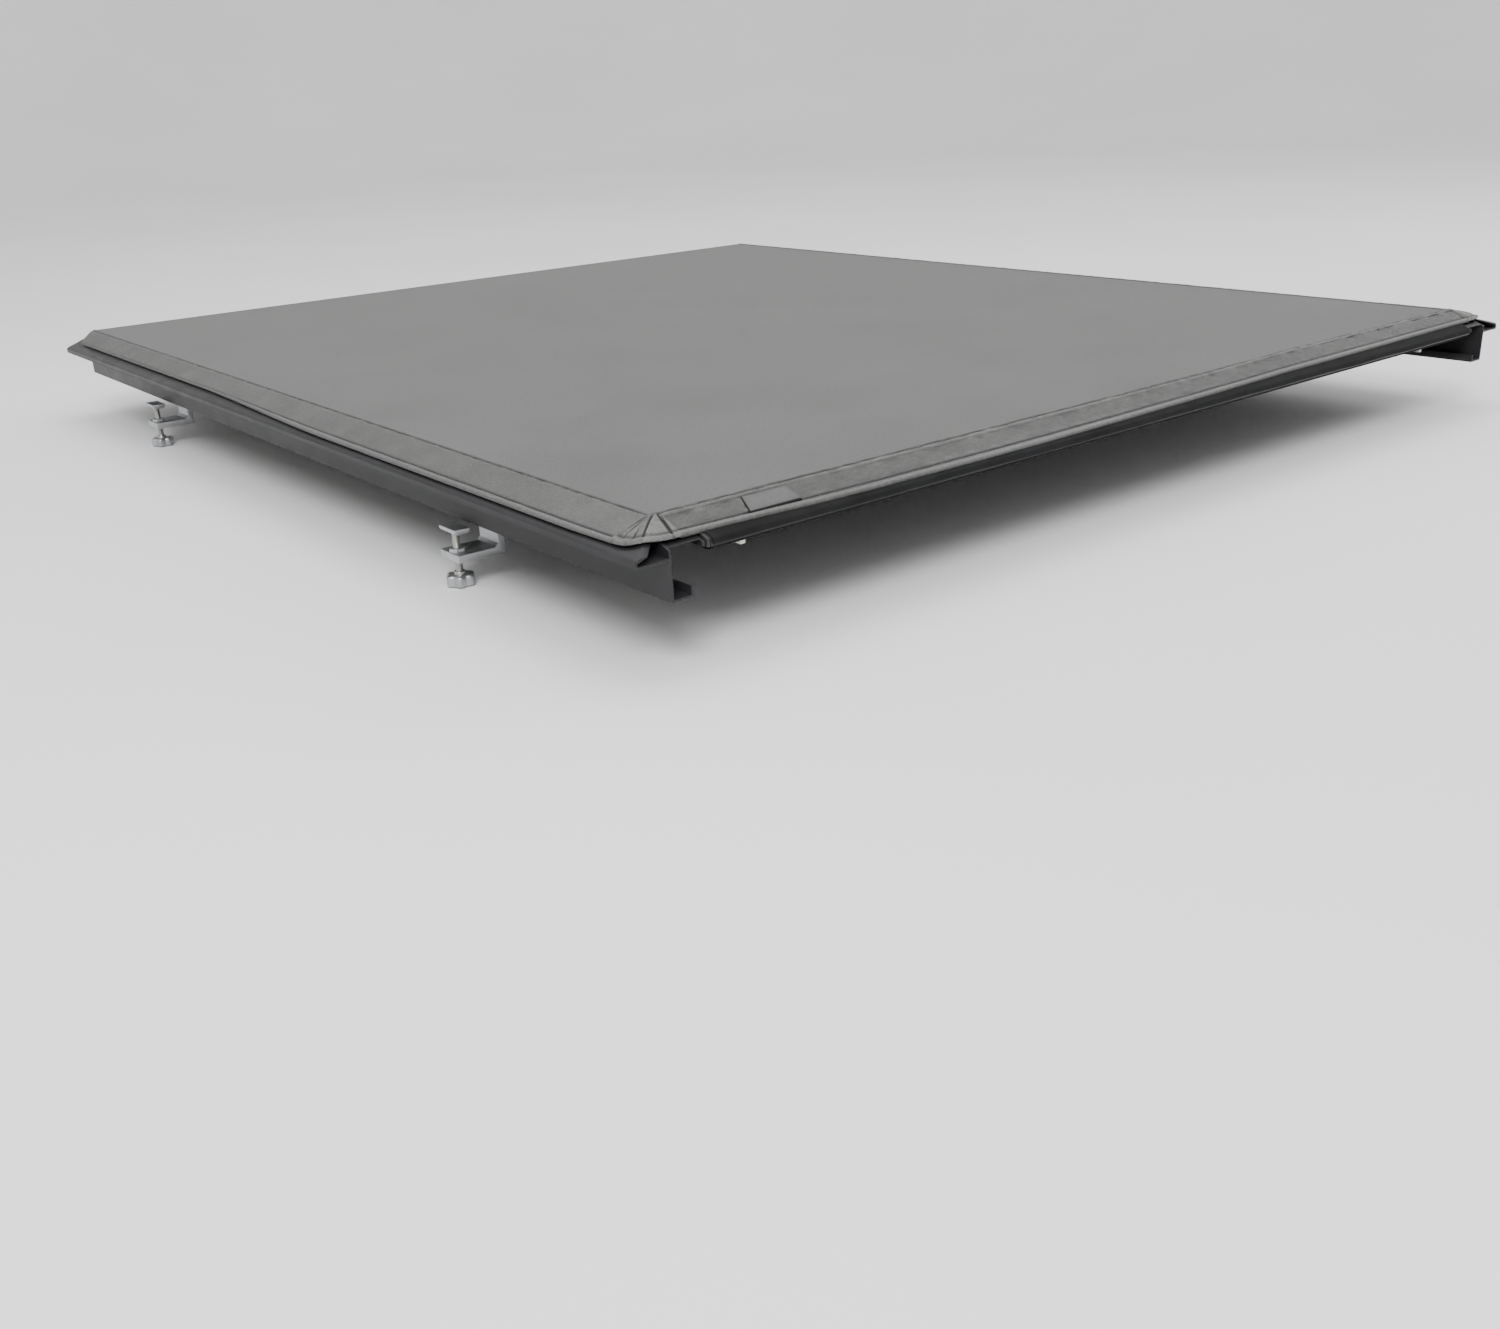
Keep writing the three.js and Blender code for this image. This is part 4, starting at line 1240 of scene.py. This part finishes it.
for n, o in list(frame["nodes"].items()):
    if n.startswith("side_rail"):
        refine(n, "coat", 0.5, 2)
    elif n in ("rear_bar", "front_header"):
        refine(n, "coat", 0.9, 3)
    elif n.startswith("bow_") and "plug" not in n:
        refine(n, "alloy_x", 1.2, 3)
    elif "plug" in n or "bar_cap" in n or n.startswith(("header_corner", "latch_guide")):
        refine(n, "plastic", 0.6, 2)
    elif n.startswith("latch_bolt"):
        refine(n, "zinc", 0.7, 3)
    elif n.startswith("tension_screw"):
        refine(n, "zinc", 0.5, 2)
    elif n.startswith("clamp_") and "body" in n:
        refine(n, "cast", 1.0, 3)
    elif n.startswith("clamp_") and "pad" in n:
        refine(n, "cast", 0.8, 2)

def lathe(b, rings, key, place, flat_ends=True):
    """Closed loops of points stacked into one skin with both ends filled."""
    n_ = len(rings[0])
    v = place(np.concatenate(rings))
    f = []
    for i in range(len(rings) - 1):
        for j in range(n_):
            k = (j + 1) % n_
            f.append([i * n_ + j, i * n_ + k, (i + 1) * n_ + k, (i + 1) * n_ + j])
    b.add(v, f, key)
    last = (len(rings) - 1) * n_
    b.add(v[:n_], [list(range(n_))[::-1]], key, flat=True)
    b.add(v[last:], [list(range(n_))], key, flat=True)


def clamp_bolt(k):
    """Threaded rod with a six-lobed hand knob on its lower end."""
    side = -1 if k < 3 else 1
    yc = (-330.0, -1230.0)[(k - 1) % 2]
    place = lambda v: np.stack([side * (688.0 + v[:, 0]), yc + side * v[:, 1], v[:, 2]], 1) if side > 0 else np.stack(
        [-(688.0 + v[:, 0]), yc - v[:, 1], v[:, 2]], 1
    )
    b = Build(f"clamp_screw_{k}")
    pitch, zs = 1.25, np.arange(-89.0, -44.39, 0.25)
    th = np.linspace(0, 2 * math.pi, 25)[:-1]
    rings = []
    for z in zs:
        ph = (z / pitch - th / (2 * math.pi)) % 1.0
        tri = 1 - np.abs(2 * ph - 1)
        end = ease((-44.4 - z) / 1.2)
        r = (3.15 + 0.72 * ease((tri - 0.12) / 0.7)) * (0.82 + 0.18 * end)
        rings.append(np.stack([r * np.cos(th), r * np.sin(th), np.full(24, z)], 1))
    lathe(b, rings, "zinc", place)
    th = np.linspace(0, 2 * math.pi, 97)[:-1]
    rings = []
    lobes = 0.5 + 0.5 * np.cos(6 * th)
    for z, inset, round_ in (
        (-100.0, 5.0, 0.2), (-99.95, 3.0, 0.6), (-99.6, 1.3, 0.9), (-98.9, 0.45, 1.0), (-97.6, 0.05, 1.0),
        (-96.0, 0.0, 1.0), (-92.5, 0.0, 1.0), (-90.4, 0.1, 1.0), (-89.2, 0.5, 1.0), (-88.4, 1.4, 0.9),
        (-88.05, 3.0, 0.6), (-88.0, 5.0, 0.2),
    ):
        r = 12.2 + 3.2 * lobes**0.8 * round_ - inset
        rings.append(np.stack([r * np.cos(th), r * np.sin(th), np.full(96, z)], 1))
    lathe(b, rings, "cast", place)
    th = np.linspace(0, 2 * math.pi, 7)[:-1] + 0.3
    rings = [np.stack([rr * np.cos(th), rr * np.sin(th), np.full(6, z)], 1) for z, rr in ((-88.2, 6.4), (-85.4, 6.4), (-84.9, 5.8))]
    lathe(b, rings, "zinc", place)
    b.make(f"clamp_{k}_screw", [f"clamp_{k}_bolt"])


for k in (1, 2, 3, 4):
    clamp_bolt(k)

for side in (-1, 1):
    name = "left" if side < 0 else "right"
    b = Build(f"latch_coil_{name}")
    t = np.linspace(0, 1, 420)
    turns = 9.0
    w = np.where(t < 0.06, t / 0.06 * 0.025, np.where(t > 0.94, 0.975 + (t - 0.94) / 0.06 * 0.025, 0.025 + (t - 0.06) / 0.88 * 0.95))
    ang = 2 * math.pi * turns * t
    path = np.stack([side * (511.6 + 46.8 * w), -1548 + 2.7 * np.cos(ang), 12.4 + 2.7 * np.sin(ang)], 1)
    v, f = tube_mesh(path, 0.46, 8)
    b.add(v, f, "zinc")
    o = b.make(None, [f"latch_spring_{name}"])
    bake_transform(o, "rear_rail", f"latch_{name}", tuple(row((side * 511.0, -1548, 12.4))), tuple(row((side * 559.0, -1548, 12.4))))

# ---------------------------------------------------------------- camera, light, floor
cam_data = bpy.data.cameras.new("camera")
cam_data.lens = 35.35
cam_data.sensor_width = 36.0
cam_data.sensor_fit = "HORIZONTAL"
cam_data.clip_end = 100.0
cam = bpy.data.objects.new("camera", cam_data)
bpy.context.scene.collection.objects.link(cam)
right = Vector((0.77691912, -0.62809047, -0.04357805))
down = Vector((-0.26741457, -0.26653301, -0.92598575))
fwd = Vector((0.56998783, 0.73106943, -0.37503513))
rot = Matrix((right, -down, -fwd)).transposed()
cam.matrix_world = Matrix.Translation(
    Vector((-1.3364, -2.5328 + FRONT / 1000, 0.3741))
) @ rot.to_4x4()
bpy.context.scene.camera = cam


def stage_mesh(name, verts, faces, mat):
    me = bpy.data.meshes.new(name)
    me.from_pydata(verts, [], faces)
    me.materials.append(mat)
    o = bpy.data.objects.new(name, me)
    bpy.context.scene.collection.objects.link(o)
    for p in me.polygons:
        p.use_smooth = True
    return o


m = Mat("floor", Roughness=0.75, Specular_IOR_Level=0.2)
co = m.obj()
m.color(
    m.ramp(m.noise(co, 900.0, 2.0), (0.3, (0.86, 0.86, 0.858)), (0.7, (0.9, 0.9, 0.898)))
)
floor_mat = m.m
# the floor rises into a round backdrop far behind
FLOOR_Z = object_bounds()[0].z - 0.0005
rings, seg = [], 96
prof = [(0.001, 0.0), (6.0, 0.0)]
for i in range(1, 17):
    a = math.pi / 2 * i / 16
    prof.append((6.0 + 4.0 * math.sin(a), 4.0 - 4.0 * math.cos(a)))
prof.append((10.0, 9.0))
vs, fs = [], []
for r_, z_ in prof:
    for j in range(seg):
        a = 2 * math.pi * j / seg
        vs.append((r_ * math.cos(a), -0.77 + r_ * math.sin(a), FLOOR_Z + z_))
for i in range(len(prof) - 1):
    for j in range(seg):
        k2 = (j + 1) % seg
        fs.append((i * seg + j, i * seg + k2, (i + 1) * seg + k2, (i + 1) * seg + j))
stage_mesh("floor", vs, fs, floor_mat)

world = bpy.data.worlds.new("studio")
bpy.context.scene.world = world
world.use_nodes = True
bg = world.node_tree.nodes["Background"]
bg.inputs[0].default_value = (1.0, 1.0, 1.0, 1)
bg.inputs[1].default_value = 1.0


def area(name, loc, aim, size, power, color=(1, 1, 1)):
    d = bpy.data.lights.new(name, "AREA")
    d.shape = "RECTANGLE"
    d.size, d.size_y = size
    d.energy = power
    d.color = color
    o = bpy.data.objects.new(name, d)
    bpy.context.scene.collection.objects.link(o)
    o.location = loc
    o.rotation_mode = "QUATERNION"
    o.rotation_quaternion = (Vector(aim) - Vector(loc)).to_track_quat("-Z", "Y")
    return o


area("key", (-2.4, -3.4, 2.9), (0, -1.1, 0), (1.6, 1.6), 150)
area("fill", (3.6, -2.4, 2.0), (0.2, -1.0, 0), (2.0, 2.0), 40)
area("over", (0.2, -0.6, 4.2), (0, -0.9, 0), (3.4, 3.0), 90)

for n, o in frame["nodes"].items():
    if o.hide_render:
        continue
    key = "plastic"
    if n.startswith(("side_rail", "rear_bar", "front_header")) and "cap" not in n:
        key = "coat"
    elif n.startswith("bow_") and "plug" not in n:
        key = "alloy_x"
    elif n.startswith("clamp_") and ("body" in n or "pad" in n):
        key = "cast"
    elif "bolt" in n or "spring" in n or "screw" in n:
        key = "zinc"
    elif n in ("bulkhead_seal", "tailgate_seal"):
        key = "rubber"
    elif n.startswith("rail_seal"):
        key = "foam"
    o.data.materials.clear()
    o.data.materials.append(MAT[key])
